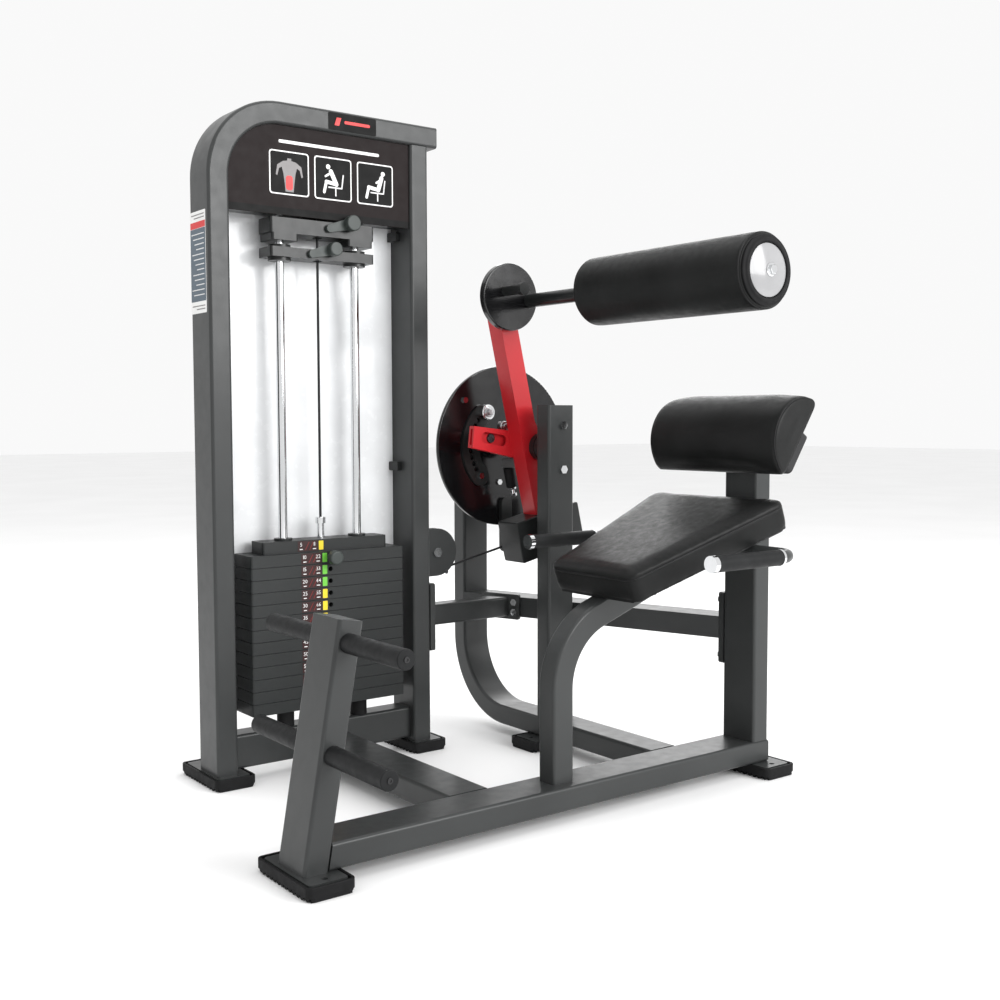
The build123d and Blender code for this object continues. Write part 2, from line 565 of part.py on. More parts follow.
PLATE_H = PLATE_PITCH - PLATE_GAP
PIN_ROW = [(TOWER_MID_X, STACK_BOTTOM + (i + 0.5) * PLATE_PITCH) for i in range(PLATE_COUNT)]
with BuildPart() as lower_weight_plates:
    for i in range(PLATE_COUNT - 1):
        with BuildSketch(Plane.XY.offset(STACK_BOTTOM + i * PLATE_PITCH)):
            with Locations((TOWER_MID_X, STACK_Y)):
                RectangleRounded(STACK_W, STACK_D, 5)
            with Locations(*ROD_SPOTS):
                Circle(ROD_R + 1.5, mode=Mode.SUBTRACT)
            with Locations((TOWER_MID_X, ROD_Y)):
                Circle(SELECTOR_R + 1.5, mode=Mode.SUBTRACT)
        extrude(amount=PLATE_H)
    with BuildSketch(facing_y(STACK_Y - STACK_D / 2)):
        with Locations(*PIN_ROW[:-1]):
            Circle(PIN_R + 0.5)
    extrude(amount=-STACK_D / 2, mode=Mode.SUBTRACT)
save(lower_weight_plates.part, "lower_weight_plates")

with BuildPart() as top_weight_plate:
    with BuildSketch(Plane.XY.offset(STACK_TOP - PLATE_PITCH)):
        with Locations((TOWER_MID_X, STACK_Y)):
            RectangleRounded(STACK_W, STACK_D, 5)
        with Locations(*ROD_SPOTS):
            Circle(ROD_R + 1.5, mode=Mode.SUBTRACT)
        with Locations((TOWER_MID_X, ROD_Y)):
            Circle(SELECTOR_R, mode=Mode.SUBTRACT)
    extrude(amount=PLATE_H)
    with BuildSketch(facing_y(STACK_Y - STACK_D / 2)):
        with Locations((TOWER_MID_X, PIN_Z)):
            Circle(PIN_R + 0.5)
    extrude(amount=-STACK_D / 2 - 16, mode=Mode.SUBTRACT)
save(top_weight_plate.part, "top_weight_plate")

HEAD_Z = STACK_TOP - PLATE_GAP
with BuildPart() as head_plate:
    with BuildSketch(Plane.XY.offset(HEAD_Z)):
        with Locations((TOWER_MID_X, STACK_Y + 2)):
            RectangleRounded(HEAD_W, HEAD_D, 6)
    extrude(amount=HEAD_H)
    # a guide collar stands up round each rod
    with BuildSketch(Plane.XY.offset(HEAD_Z + HEAD_H)):
        with Locations(*ROD_SPOTS):
            Circle(21)
    extrude(amount=5)
    with BuildSketch(Plane.XY.offset(HEAD_Z)):
        with Locations(*ROD_SPOTS):
            Circle(ROD_R + 0.08)
        with Locations((TOWER_MID_X, ROD_Y)):
            Circle(SELECTOR_R)
    extrude(amount=HEAD_H + 5, mode=Mode.SUBTRACT)
save(head_plate.part, "head_plate")

with BuildPart() as selector_rod:
    with BuildSketch(Plane.XY.offset(STACK_BOTTOM + 4)):
        with Locations((TOWER_MID_X, ROD_Y)):
            Circle(SELECTOR_R)
    extrude(amount=SELECTOR_TOP - 15 - STACK_BOTTOM - 4)
    with BuildSketch(Plane.XY.offset(SELECTOR_TOP - 15)):
        with Locations((TOWER_MID_X, ROD_Y)):
            Circle(12)
    extrude(amount=15)
    with BuildSketch(facing_y(ROD_Y + 12)):
        with Locations(*PIN_ROW):
            Circle(PIN_R + 0.08)
    extrude(amount=24, mode=Mode.SUBTRACT)
    chamfer(selector_rod.edges().group_by(Axis.Z)[-1], 1.5)
save(selector_rod.part, "selector_rod")

KNOB_Y0, KNOB_T = 291.0, 17.0
with BuildPart() as selector_pin:
    with BuildSketch(facing_y(ROD_Y + SELECTOR_R + 4)):
        with Locations((TOWER_MID_X, PIN_Z)):
            Circle(PIN_R)
    extrude(amount=ROD_Y + SELECTOR_R + 4 - KNOB_Y0 - KNOB_T + 2)
    with BuildSketch(facing_y(STACK_Y - STACK_D / 2 - 0.5)):
        with Locations((TOWER_MID_X, PIN_Z)):
            Circle(9)
    extrude(amount=STACK_Y - STACK_D / 2 - 0.5 - KNOB_Y0 - KNOB_T)
    with BuildSketch(facing_y(KNOB_Y0 + KNOB_T)):
        with Locations((TOWER_MID_X, PIN_Z)):
            Circle(17)
    extrude(amount=KNOB_T)
    fillet(selector_pin.edges().group_by(Axis.Y)[0], 5)
save(selector_pin.part, "selector_pin")

# Add-on weights: a bar with a collar at each rod, and a locking lever on its front
ADD_ON_W, ADD_ON_D, ADD_ON_Y0 = 268.0, 64.0, 340.0
COLLAR_W = 66.0
LOWER_ADD_Z, LOWER_ADD_H = 1187.0, 22.0
UPPER_ADD_Z, UPPER_ADD_H = 1240.0, 34.0
with BuildPart() as add_on_weight_lower:
    with BuildSketch(Plane.XY.offset(LOWER_ADD_Z)):
        with Locations((TOWER_MID_X, ADD_ON_Y0 + ADD_ON_D / 2)):
            RectangleRounded(ADD_ON_W, ADD_ON_D, 6)
    extrude(amount=LOWER_ADD_H)
    with BuildSketch(Plane.XY.offset(LOWER_ADD_Z - 7)):
        with Locations(*ROD_SPOTS):
            Circle(26)
    extrude(amount=LOWER_ADD_H + 14)
    with BuildSketch(Plane.XY.offset(LOWER_ADD_Z - 10)):
        with Locations(*ROD_SPOTS):
            Circle(ROD_R + 0.08)
        with Locations((TOWER_MID_X, ROD_Y)):
            Circle(12)
    extrude(amount=LOWER_ADD_H + 20, mode=Mode.SUBTRACT)
save(add_on_weight_lower.part, "add_on_weight_lower")

with BuildPart() as add_on_weight_upper:
    with BuildSketch(Plane.XY.offset(UPPER_ADD_Z)):
        with Locations((TOWER_MID_X, ADD_ON_Y0 + ADD_ON_D / 2)):
            RectangleRounded(ADD_ON_W, ADD_ON_D, 6)
    extrude(amount=UPPER_ADD_H)
    with BuildSketch(Plane.XY.offset(UPPER_ADD_Z - 16)):
        with Locations(*[(x, ADD_ON_Y0 + ADD_ON_D / 2) for x in ROD_XS]):
            RectangleRounded(COLLAR_W, ADD_ON_D, 6)
    extrude(amount=UPPER_ADD_H + 16)
    with BuildSketch(Plane.XY.offset(UPPER_ADD_Z - 20)):
        with Locations(*ROD_SPOTS):
            Circle(ROD_R + 0.08)
        with Locations((TOWER_MID_X, ROD_Y)):
            Circle(12)
    extrude(amount=UPPER_ADD_H + 24, mode=Mode.SUBTRACT)
save(add_on_weight_upper.part, "add_on_weight_upper")

# Locking levers turn on the front of the add-on weights; the round knob is at the free end
LEVER_LOW, KNOB_LOW = (-232.0, 1198.0), (-180.0, 1211.0)
LEVER_UP, KNOB_UP = (-186.0, 1259.0), (-133.0, 1274.0)
with BuildPart() as add_on_lever_lower:
    with BuildSketch(facing_y(ADD_ON_Y0 - 0.3)):
        with Locations(LEVER_LOW):
            Circle(9)
        with Locations(KNOB_LOW):
            Circle(13)
        make_hull()
    extrude(amount=9)
    with BuildSketch(facing_y(ADD_ON_Y0 - 9.3)):
        with Locations(KNOB_LOW):
            Circle(16)
    extrude(amount=18)
    fillet(add_on_lever_lower.edges().group_by(Axis.Y)[0], 3)
save(add_on_lever_lower.part, "add_on_lever_lower")

with BuildPart() as add_on_lever_upper:
    with BuildSketch(facing_y(ADD_ON_Y0 - 0.3)):
        with Locations(LEVER_UP):
            Circle(9)
        with Locations(KNOB_UP):
            Circle(13)
        make_hull()
    extrude(amount=9)
    with BuildSketch(facing_y(ADD_ON_Y0 - 9.3)):
        with Locations(KNOB_UP):
            Circle(18)
    extrude(amount=18)
    fillet(add_on_lever_upper.edges().group_by(Axis.Y)[0], 3)
save(add_on_lever_upper.part, "add_on_lever_upper")

# Rear shield with its clips, and the placard between the uprights
SHIELD_Y, SHIELD_T = 424.0, 4.0
SHIELD_Z0, SHIELD_Z1 = 150.0, 1300.0
SHIELD_X0, SHIELD_X1 = LEFT_X + TUBE_W / 2 + 1, RIGHT_X - TUBE_W / 2 - 1
with BuildPart() as rear_shield:
    with BuildSketch(facing_y(SHIELD_Y + SHIELD_T)):
        with Locations(((SHIELD_X0 + SHIELD_X1) / 2, (SHIELD_Z0 + SHIELD_Z1) / 2)):
            RectangleRounded(SHIELD_X1 - SHIELD_X0, SHIELD_Z1 - SHIELD_Z0, 12)
    extrude(amount=SHIELD_T)
save(rear_shield.part, "rear_shield")

CLIP_ZS = (706.0, 1266.0)
with BuildPart() as shield_clips:
    with BuildSketch(facing_x(RIGHT_X - TUBE_W / 2)):
        with Locations(*[(404, z) for z in CLIP_ZS]):
            RectangleRounded(40, 22, 4)
    extrude(amount=-12)
    with BuildSketch(facing_x(LEFT_X + TUBE_W / 2)):
        with Locations(*[(404, z) for z in CLIP_ZS]):
            RectangleRounded(40, 22, 4)
    extrude(amount=12)
save(shield_clips.part, "shield_clips")

PLACARD_Y0, PLACARD_T, PLACARD_Z0 = 343.0, 3.0, 1280.0
PLACARD_X0, PLACARD_X1 = BASE_BEAM_X0, BASE_BEAM_X1
INNER_BEND = TOWER_BEND - TUBE_W / 2
with BuildPart() as placard:
    with BuildSketch(facing_y(PLACARD_Y0 + PLACARD_T)):
        with BuildLine():
            bend_low = (PLACARD_X0, BEAM_UNDER - INNER_BEND)
            bend_mid = (
                PLACARD_X0 + INNER_BEND * (1 - cos(pi / 4)),
                BEAM_UNDER - INNER_BEND * (1 - sin(pi / 4)),
            )
            bend_top = (PLACARD_X0 + INNER_BEND, BEAM_UNDER)
            ThreePointArc(bend_low, bend_mid, bend_top)
            Polyline(bend_top, (PLACARD_X1, BEAM_UNDER), (PLACARD_X1, PLACARD_Z0), (PLACARD_X0, PLACARD_Z0), bend_low)
        make_face()
    extrude(amount=PLACARD_T)
save(placard.part, "placard")

# ================================================================ pulleys and cable
LEFT_PULLEY_X = TOWER_MID_X + GROOVE_R
CABLE_DRIFT = 0.85                          # half the sideways run of the slanting cable on a pulley
LEFT_PULLEY = (LEFT_PULLEY_X, ROD_Y + CABLE_DRIFT)
RIGHT_PULLEY = (RIGHT_PULLEY_X, CABLE_Y - CABLE_DRIFT)
GROOVE_HALF = 4.2


def pulley_outline(y):
    """Half section of a grooved pulley about its axle: distance along the axle, then radius."""
    half = PULLEY_T / 2
    root = GROOVE_R - CABLE_R - 0.1
    return [
        (y - half, AXLE_R + 0.05),
        (y - half, PULLEY_RIM),
        (y - GROOVE_HALF - 0.7, PULLEY_RIM),
        (y - GROOVE_HALF, root),
        (y + GROOVE_HALF, root),
        (y + GROOVE_HALF + 0.7, PULLEY_RIM),
        (y + half, PULLEY_RIM),
        (y + half, AXLE_R + 0.05),
    ]


with BuildPart() as top_pulley_left:
    with BuildSketch(Plane(origin=(LEFT_PULLEY_X, 0, TOP_PULLEY_Z), x_dir=(0, 1, 0), z_dir=(1, 0, 0))):
        with BuildLine():
            Polyline(*pulley_outline(LEFT_PULLEY[1]), close=True)
        make_face()
    revolve(axis=Axis((LEFT_PULLEY_X, 0, TOP_PULLEY_Z), (0, 1, 0)))
save(top_pulley_left.part, "top_pulley_left")

with BuildPart() as top_pulley_right:
    with BuildSketch(Plane(origin=(RIGHT_PULLEY_X, 0, TOP_PULLEY_Z), x_dir=(0, 1, 0), z_dir=(1, 0, 0))):
        with BuildLine():
            Polyline(*pulley_outline(RIGHT_PULLEY[1]), close=True)
        make_face()
    revolve(axis=Axis((RIGHT_PULLEY_X, 0, TOP_PULLEY_Z), (0, 1, 0)))
save(top_pulley_right.part, "top_pulley_right")

with BuildPart() as low_pulley:
    with BuildSketch(Plane(origin=(LOW_PULLEY_X, 0, LOW_PULLEY_Z), x_dir=(0, 1, 0), z_dir=(1, 0, 0))):
        with BuildLine():
            Polyline(*pulley_outline(CABLE_Y), close=True)
        make_face()
    revolve(axis=Axis((LOW_PULLEY_X, 0, LOW_PULLEY_Z), (0, 1, 0)))
save(low_pulley.part, "low_pulley")

# Brackets: pairs of plates under the top beam, and a D-shaped pair on the right upright
BRACKET_GAP = PULLEY_T + 1.0
BRACKET_T = 3.0
COVER_R = 60.0
with BuildPart() as pulley_brackets:
    for x, y in (LEFT_PULLEY, RIGHT_PULLEY):
        for side in (-1, 1):
            with BuildSketch(facing_y(y + side * (BRACKET_GAP + BRACKET_T) / 2 + BRACKET_T / 2)):
                with Locations((x, (BEAM_UNDER + TOP_PULLEY_Z - 18) / 2)):
                    Rectangle(40, BEAM_UNDER - TOP_PULLEY_Z + 18)
                with Locations((x, TOP_PULLEY_Z)):
                    Circle(AXLE_R, mode=Mode.SUBTRACT)
            extrude(amount=BRACKET_T)
    for side in (-1, 1):
        with BuildSketch(facing_y(CABLE_Y + side * (BRACKET_GAP + BRACKET_T) / 2 + BRACKET_T / 2)):
            with Locations((LOW_PULLEY_X, LOW_PULLEY_Z)):
                Circle(COVER_R)
            with Locations(((RIGHT_X + TUBE_W / 2 + LOW_PULLEY_X) / 2, LOW_PULLEY_Z)):
                Rectangle(LOW_PULLEY_X - RIGHT_X - TUBE_W / 2, 2 * COVER_R)
            with Locations((0, LOW_PULLEY_Z)):
                Rectangle(2 * (RIGHT_X + TUBE_W / 2), 4 * COVER_R, mode=Mode.SUBTRACT)
            with Locations((LOW_PULLEY_X, LOW_PULLEY_Z)):
                Circle(AXLE_R, mode=Mode.SUBTRACT)
        extrude(amount=BRACKET_T)
save(pulley_brackets.part, "pulley_brackets")

with BuildPart() as stack_cable:
    with BuildSketch(Plane.XY.offset(SELECTOR_TOP)):
        with Locations((TOWER_MID_X, ROD_Y)):
            Circle(CABLE_R)
    extrude(amount=TOP_PULLEY_Z - SELECTOR_TOP)
save(stack_cable.part, "stack_cable")

# The cable crosses from the right-hand side of the top pulley to the left-hand side of the low one
pulley_drop = Vector(LOW_PULLEY_X - RIGHT_PULLEY_X, 0, LOW_PULLEY_Z - TOP_PULLEY_Z)
lean_angle = atan2(pulley_drop.X, -pulley_drop.Z) - asin(2 * GROOVE_R / pulley_drop.length)
down_dir = Vector(sin(lean_angle), 0, -cos(lean_angle))
down_side = Vector(cos(lean_angle), 0, sin(lean_angle))
down_start = Vector(RIGHT_PULLEY_X, 0, TOP_PULLEY_Z) + down_side * GROOVE_R
rise_dir = Vector(cos(radians(CABLE_RISE)), 0, sin(radians(CABLE_RISE)))
rise_side = Vector(sin(radians(CABLE_RISE)), 0, -cos(radians(CABLE_RISE)))
rise_start = Vector(LOW_PULLEY_X, 0, LOW_PULLEY_Z) + rise_side * GROOVE_R
CABLE_TOP_Z = TOP_PULLEY_Z + GROOVE_R
corner_right = down_start + down_dir * ((CABLE_TOP_Z - down_start.Z) / down_dir.Z)
# where the run down meets the run to the cam
meet = (rise_start - down_start).cross(rise_dir).Y / down_dir.cross(rise_dir).Y
corner_low = down_start + down_dir * meet
with BuildPart() as tower_cable:
    with BuildLine() as tower_cable_path:
        FilletPolyline(
            (TOWER_MID_X, ROD_Y, TOP_PULLEY_Z),
            (TOWER_MID_X, ROD_Y, CABLE_TOP_Z),
            (corner_right.X, CABLE_Y, CABLE_TOP_Z),
            (corner_low.X, CABLE_Y, corner_low.Z),
            (rise_start.X, CABLE_Y, rise_start.Z),
            radius=GROOVE_R,
        )
    with BuildSketch(Plane.XY.offset(TOP_PULLEY_Z)):
        with Locations((TOWER_MID_X, ROD_Y)):
            Circle(CABLE_R)
    sweep(path=tower_cable_path.wires()[0])
save(tower_cable.part, "tower_cable")

LUG_SPAN = 222.0                            # cable from the low pulley to the eye in the lug
lug_eye = rise_start + rise_dir * LUG_SPAN
with BuildPart() as lever_cable:
    with BuildSketch(
        Plane(origin=(rise_start.X, CABLE_Y, rise_start.Z), x_dir=(0, 1, 0), z_dir=(rise_dir.X, 0, rise_dir.Z))
    ):
        Circle(CABLE_R)
    extrude(amount=LUG_SPAN - 11)
save(lever_cable.part, "lever_cable")

# ================================================================ pivot
FRONT_BEARING_Y = POST_Y + FRAME_T / 2
REAR_BEARING_Y = REAR_UPRIGHT_Y - FRAME_T / 2
BEARING_T, BEARING_BOSS_T = 10.0, 24.0
SHAFT_Y0, SHAFT_Y1 = 180.0, 562.0
with BuildPart() as pivot_shaft:
    with BuildSketch(facing_y(SHAFT_Y1)):
        with Locations((PIVOT_X, PIVOT_Z)):
            Circle(SHAFT_R)
    extrude(amount=SHAFT_Y1 - SHAFT_Y0)
    with BuildSketch(facing_y(SHAFT_Y1)):
        with Locations((PIVOT_X, PIVOT_Z)):
            Circle(26)
    extrude(amount=SHAFT_Y1 - REAR_UPRIGHT_Y - FRAME_T / 2 - 0.4)
    # the boss welded to the disk
    with BuildSketch(facing_y(REAR_BEARING_Y - BEARING_BOSS_T - 0.4)):
        with Locations((PIVOT_X, PIVOT_Z)):
            Circle(30)
    extrude(amount=REAR_BEARING_Y - BEARING_BOSS_T - 0.4 - DISK_Y - DISK_T)
save(pivot_shaft.part, "pivot_shaft")

with BuildPart() as pivot_bearings:
    for y, away in ((FRONT_BEARING_Y, -1), (REAR_BEARING_Y, 1)):
        with BuildSketch(facing_y(y)):
            with Locations(*BEARING_BOLTS):
                Circle(15)
            with Locations((PIVOT_X, PIVOT_Z)):
                Circle(38)
            make_hull()
            with Locations(*BEARING_BOLTS):
                Circle(BEARING_BOLT_R, mode=Mode.SUBTRACT)
            with Locations((PIVOT_X, PIVOT_Z)):
                Circle(SHAFT_RUN, mode=Mode.SUBTRACT)
        extrude(amount=away * BEARING_T)
        with BuildSketch(facing_y(y - away * BEARING_T)):
            with Locations((PIVOT_X, PIVOT_Z)):
                Circle(33)
                Circle(SHAFT_RUN, mode=Mode.SUBTRACT)
        extrude(amount=away * (BEARING_BOSS_T - BEARING_T))
save(pivot_bearings.part, "pivot_bearings")

with BuildPart() as cam_disk:
    with BuildSketch(facing_y(DISK_Y + DISK_T)):
        with Locations((PIVOT_X, PIVOT_Z)):
            Circle(DISK_R)
            Circle(SHAFT_R, mode=Mode.SUBTRACT)
    extrude(amount=DISK_T)
    fillet(cam_disk.edges().filter_by(GeomType.CIRCLE).sort_by(SortBy.RADIUS)[-2:], 2.5)
save(cam_disk.part, "cam_disk")


def on_cam(radius, angle):
    """Point at a radius and an angle up from straight towards the user, about the pivot."""
    return (PIVOT_X - radius * cos(radians(angle)), PIVOT_Z + radius * sin(radians(angle)))


# Index plate: an arc with a row of holes for the pull pin, and its two fixings
INDEX_T = 6.0
INDEX_ANGLES = [PIN_ANGLE + k * INDEX_STEP for k in range(INDEX_K0, INDEX_K1 + 1)]
with BuildPart() as index_plate:
    with BuildSketch(facing_y(DISK_Y)):
        with Locations((PIVOT_X, PIVOT_Z)):
            Circle(INDEX_R + INDEX_HALF)
            Circle(INDEX_R - INDEX_HALF, mode=Mode.SUBTRACT)
        with BuildLine():
            Polyline((PIVOT_X, PIVOT_Z), on_cam(400, 48), (PIVOT_X - 500, PIVOT_Z), on_cam(400, -44), close=True)
        make_face(mode=Mode.INTERSECT)
        with Locations(on_cam(INDEX_R, 48), on_cam(INDEX_R, -44)):
            Circle(INDEX_HALF)
        with Locations(*[on_cam(INDEX_R, a) for a in INDEX_ANGLES]):
            Circle(INDEX_HOLE_R, mode=Mode.SUBTRACT)
    extrude(amount=INDEX_T)
save(index_plate.part, "index_plate")

INDEX_FACE_Y = DISK_Y - INDEX_T
with BuildPart() as cam_bolts:
    with BuildSketch(facing_y(INDEX_FACE_Y)):
        with Locations(on_cam(INDEX_R, 54)):
            Circle(20)
    extrude(amount=17)
    fillet(cam_bolts.edges().group_by(Axis.Y)[0], 3)
    with BuildSketch(facing_y(INDEX_FACE_Y)):
        with Locations(on_cam(INDEX_R, -44)):
            RegularPolygon(8.5, 6)
    extrude(amount=6)
    with BuildSketch(facing_y(DISK_Y)):
        with Locations((229, 870), (338, 717 - 60)):
            RegularPolygon(8, 6)
    extrude(amount=6)
save(cam_bolts.part, "cam_bolts")

# Lug for the cable, a bar down the front of the disk
LUG_W, LUG_T = 34.0, 10.0
LUG_FACE_Y = DISK_Y - LUG_T - 1.5
with BuildPart() as cable_lug:
    with BuildSketch(facing_y(DISK_Y)):
        with Locations((lug_eye.X, lug_eye.Z)):
            Circle(LUG_W / 2)
        with Locations((PIVOT_X + 2, PIVOT_Z - 150)):
            Circle(LUG_W / 2)
        make_hull()
    extrude(amount=DISK_Y - LUG_FACE_Y)
    # bore for the end of the cable
    with BuildSketch(
        Plane(
            origin=(lug_eye.X - 40 * rise_dir.X, CABLE_Y, lug_eye.Z - 40 * rise_dir.Z),
            x_dir=(0, 1, 0),
            z_dir=(rise_dir.X, 0, rise_dir.Z),
        )
    ):
        Circle(CABLE_R + 0.2)
    extrude(amount=40 - 10, mode=Mode.SUBTRACT)
save(cable_lug.part, "cable_lug")

# Swing arm: a leaning square tube with the pin bracket welded to its user side
ARM_DOWN = Vector(sin(radians(ARM_TILT)), 0, -cos(radians(ARM_TILT)))
ARM_BACK = Vector(cos(radians(ARM_TILT)), 0, sin(radians(ARM_TILT)))
PIVOT = Vector(PIVOT_X, 0, PIVOT_Z)


def arm_plane(y):
    """Sketch plane at y facing -Y: local x across the arm, away from the user; local y up the arm."""
    return Plane(origin=(PIVOT_X, y, PIVOT_Z), x_dir=ARM_BACK, z_dir=(0, -1, 0))


ARM_TOP, ARM_LOW = 400.0, -165.0
ARM_Y1 = ARM_FACE_Y + ARM_T
HUB_Y0, HUB_Y1 = FRONT_BEARING_Y + BEARING_BOSS_T + 0.4, 330.0
BRACKET_Y1 = 308.0
BARREL_Y1, BARREL_R, BARREL_BORE = 362.0, 15.0, 11.6
PIN_X, PIN_Z_UP = on_cam(INDEX_R, PIN_ANGLE)
BRACKET_OUTER = [(188, 804), (182, 750), (314, 723), (318, 790)]
BRACKET_SLOT_MID, BRACKET_SLOT_LONG, BRACKET_SLOT_WIDE = (249, 771), 80.0, 28.0
BRACKET_WALL = 6.0
PIN_HEAD_R, PIN_SHANK_R = 11.0, 6.0
with BuildPart() as swing_arm:
    with BuildSketch(arm_plane(ARM_Y1)):
        with BuildLine():
            Polyline(
                (-ARM_T, ARM_TOP),
                (0, ARM_TOP),
                (0, 70),
                (9, 30),
                (9, -30),
                (0, -70),
                (0, ARM_LOW),
                (-ARM_T, ARM_LOW),
                close=True,
            )
        make_face()
        Circle(HUB_R, mode=Mode.SUBTRACT)
    extrude(amount=ARM_T)
    # hollow from the hub's weld up and down
    with BuildSketch(arm_plane(ARM_Y1 - 3)):
        with Locations((-ARM_T / 2, 240)):
            Rectangle(ARM_T - 6, 300)
        with Locations((-ARM_T / 2, -108)):
            Rectangle(ARM_T - 6, 90)
    extrude(amount=ARM_T - 6, mode=Mode.SUBTRACT)
    # pin bracket: a front plate with a long slot, a rear plate by the disk, and the web between them
    with BuildSketch(facing_y(ARM_Y1 + BRACKET_WALL)):
        with BuildLine():
            Polyline(*BRACKET_OUTER, close=True)
        make_face()
        with Locations(BRACKET_SLOT_MID):
            SlotOverall(BRACKET_SLOT_LONG, BRACKET_SLOT_WIDE, rotation=-8.6, mode=Mode.SUBTRACT)
    extrude(amount=BRACKET_WALL)
    with BuildSketch(facing_y(BRACKET_Y1)):
        with BuildLine():
            Polyline(*BRACKET_OUTER, close=True)
        make_face()
    extrude(amount=BRACKET_WALL)
    with BuildSketch(facing_y(BRACKET_Y1)):
        with BuildLine():
            Polyline(BRACKET_OUTER[1], BRACKET_OUTER[2], (315, 730), (182.8, 757), close=True)
        make_face()
        with BuildLine():
            Polyline(BRACKET_OUTER[0], (187.2, 797), (317.6, 783.5), BRACKET_OUTER[3], close=True)
        make_face()
    extrude(amount=BRACKET_Y1 - ARM_Y1)
    # the pin's barrel behind the bracket, closed at the disk end but for the pin's bore
    with BuildSketch(facing_y(BARREL_Y1)):
        with Locations((PIN_X, PIN_Z_UP)):
            Circle(BARREL_R)
    extrude(amount=BARREL_Y1 - BRACKET_Y1 + 1)
    with BuildSketch(facing_y(BARREL_Y1 - BRACKET_WALL)):
        with Locations((PIN_X, PIN_Z_UP)):
            Circle(BARREL_BORE)
    extrude(amount=BARREL_Y1 - BRACKET_Y1 + 1, mode=Mode.SUBTRACT)
    with BuildSketch(facing_y(BARREL_Y1 + 1)):
        with Locations((PIN_X, PIN_Z_UP)):
            Circle(PIN_SHANK_R + 0.05)
    extrude(amount=BRACKET_WALL + 2, mode=Mode.SUBTRACT)
save(swing_arm.part, "swing_arm")

with BuildPart() as arm_hub:
    with BuildSketch(facing_y(HUB_Y1)):
        with Locations((PIVOT_X, PIVOT_Z)):
            Circle(HUB_R)
            Circle(SHAFT_RUN, mode=Mode.SUBTRACT)
    extrude(amount=HUB_Y1 - HUB_Y0)
save(arm_hub.part, "arm_hub")

with BuildPart() as counterweight:
    with BuildSketch(arm_plane(CW_Y1)):
        with BuildLine():
            Polyline((CW_N0, -CW_LOW), (CW_N1, -CW_LOW), (CW_N1, -CW_HIGH), (CW_N0, -CW_HIGH), close=True)
        make_face()
        fillet(vertices(), 6)
    extrude(amount=CW_Y1 - CW_Y0)
    chamfer(counterweight.faces().filter_by(Axis.Y).edges(), 2)
save(counterweight.part, "counterweight")

# Pull pin and its spring: the head is reached through the bracket's slot
PIN_HEAD_Y, PIN_HEAD_T = 298.0, 9.0
PIN_TIP_Y = INDEX_FACE_Y - 1.0
with BuildPart() as pull_pin:
    with BuildSketch(facing_y(PIN_TIP_Y)):
        with Locations((PIN_X, PIN_Z_UP)):
            Circle(PIN_SHANK_R)
    extrude(amount=PIN_TIP_Y - PIN_HEAD_Y)
    with BuildSketch(facing_y(PIN_HEAD_Y + PIN_HEAD_T)):
        with Locations((PIN_X, PIN_Z_UP)):
            Circle(PIN_HEAD_R)
    extrude(amount=PIN_HEAD_T)
    chamfer(pull_pin.edges().group_by(Axis.Y)[-1], 1)
save(pull_pin.part, "pull_pin")

SPRING_Y0, SPRING_Y1, COILS = PIN_HEAD_Y + PIN_HEAD_T, BARREL_Y1 - BRACKET_WALL, 8
SPRING_IN, SPRING_OUT = PIN_SHANK_R + 0.5, PIN_SHANK_R + 3.5
spring_step = (SPRING_Y1 - SPRING_Y0) / (2 * COILS)
spring_outer = [
    (SPRING_Y0 + i * spring_step, SPRING_OUT if i % 2 else SPRING_IN + 1)
    for i in range(2 * COILS + 1)
]
with BuildPart() as pin_spring:
    with BuildSketch(Plane(origin=(PIN_X, 0, PIN_Z_UP), x_dir=(0, 1, 0), z_dir=(1, 0, 0))):
        with BuildLine():
            Polyline(*spring_outer, (SPRING_Y1, SPRING_IN), (SPRING_Y0, SPRING_IN), close=True)
        make_face()
    revolve(axis=Axis((PIN_X, 0, PIN_Z_UP), (0, 1, 0)))
save(pin_spring.part, "pin_spring")

# Round guard plate at the top of the arm, with the roller's bar and a short peg
PEG_X, PEG_Z, PEG_R = 233.0, 1132.0, 12.0
with BuildPart() as guard_plate:
    with BuildSketch(facing_y(ARM_FACE_Y)):
        with Locations((GUARD_X, GUARD_Z)):
            Circle(GUARD_R)
    extrude(amount=GUARD_T)
    fillet(guard_plate.edges().filter_by(GeomType.CIRCLE), 3)
save(guard_plate.part, "guard_plate")

GUARD_FACE_Y = ARM_FACE_Y - GUARD_T
PEG_Y0, ROLLER_END_Y = 143.0, ROLLER_Y0 - 4
with BuildPart() as roller_bar:
    with BuildSketch(facing_y(GUARD_FACE_Y)):
        with Locations((ROLLER_X, ROLLER_Z)):
            Circle(ROLLER_BAR_R)
    extrude(amount=GUARD_FACE_Y - ROLLER_END_Y)
    with BuildSketch(facing_y(GUARD_FACE_Y)):
        with Locations((PEG_X, PEG_Z)):
            Circle(PEG_R)
    extrude(amount=GUARD_FACE_Y - PEG_Y0)
    with BuildSketch(facing_y(PEG_Y0 + 12)):
        with Locations((PEG_X, PEG_Z)):
            Circle(PEG_R + 3)
    extrude(amount=12)
save(roller_bar.part, "roller_bar")

with BuildPart() as chest_roller:
    with BuildSketch(facing_y(ROLLER_Y1)):
        with Locations((ROLLER_X, ROLLER_Z)):
            Circle(ROLLER_R)
            Circle(ROLLER_BAR_R + 0.08, mode=Mode.SUBTRACT)
    extrude(amount=ROLLER_Y1 - ROLLER_Y0)
    fillet(chest_roller.edges().filter_by(GeomType.CIRCLE).sort_by(SortBy.RADIUS)[-2:], 9)
save(chest_roller.part, "chest_roller")

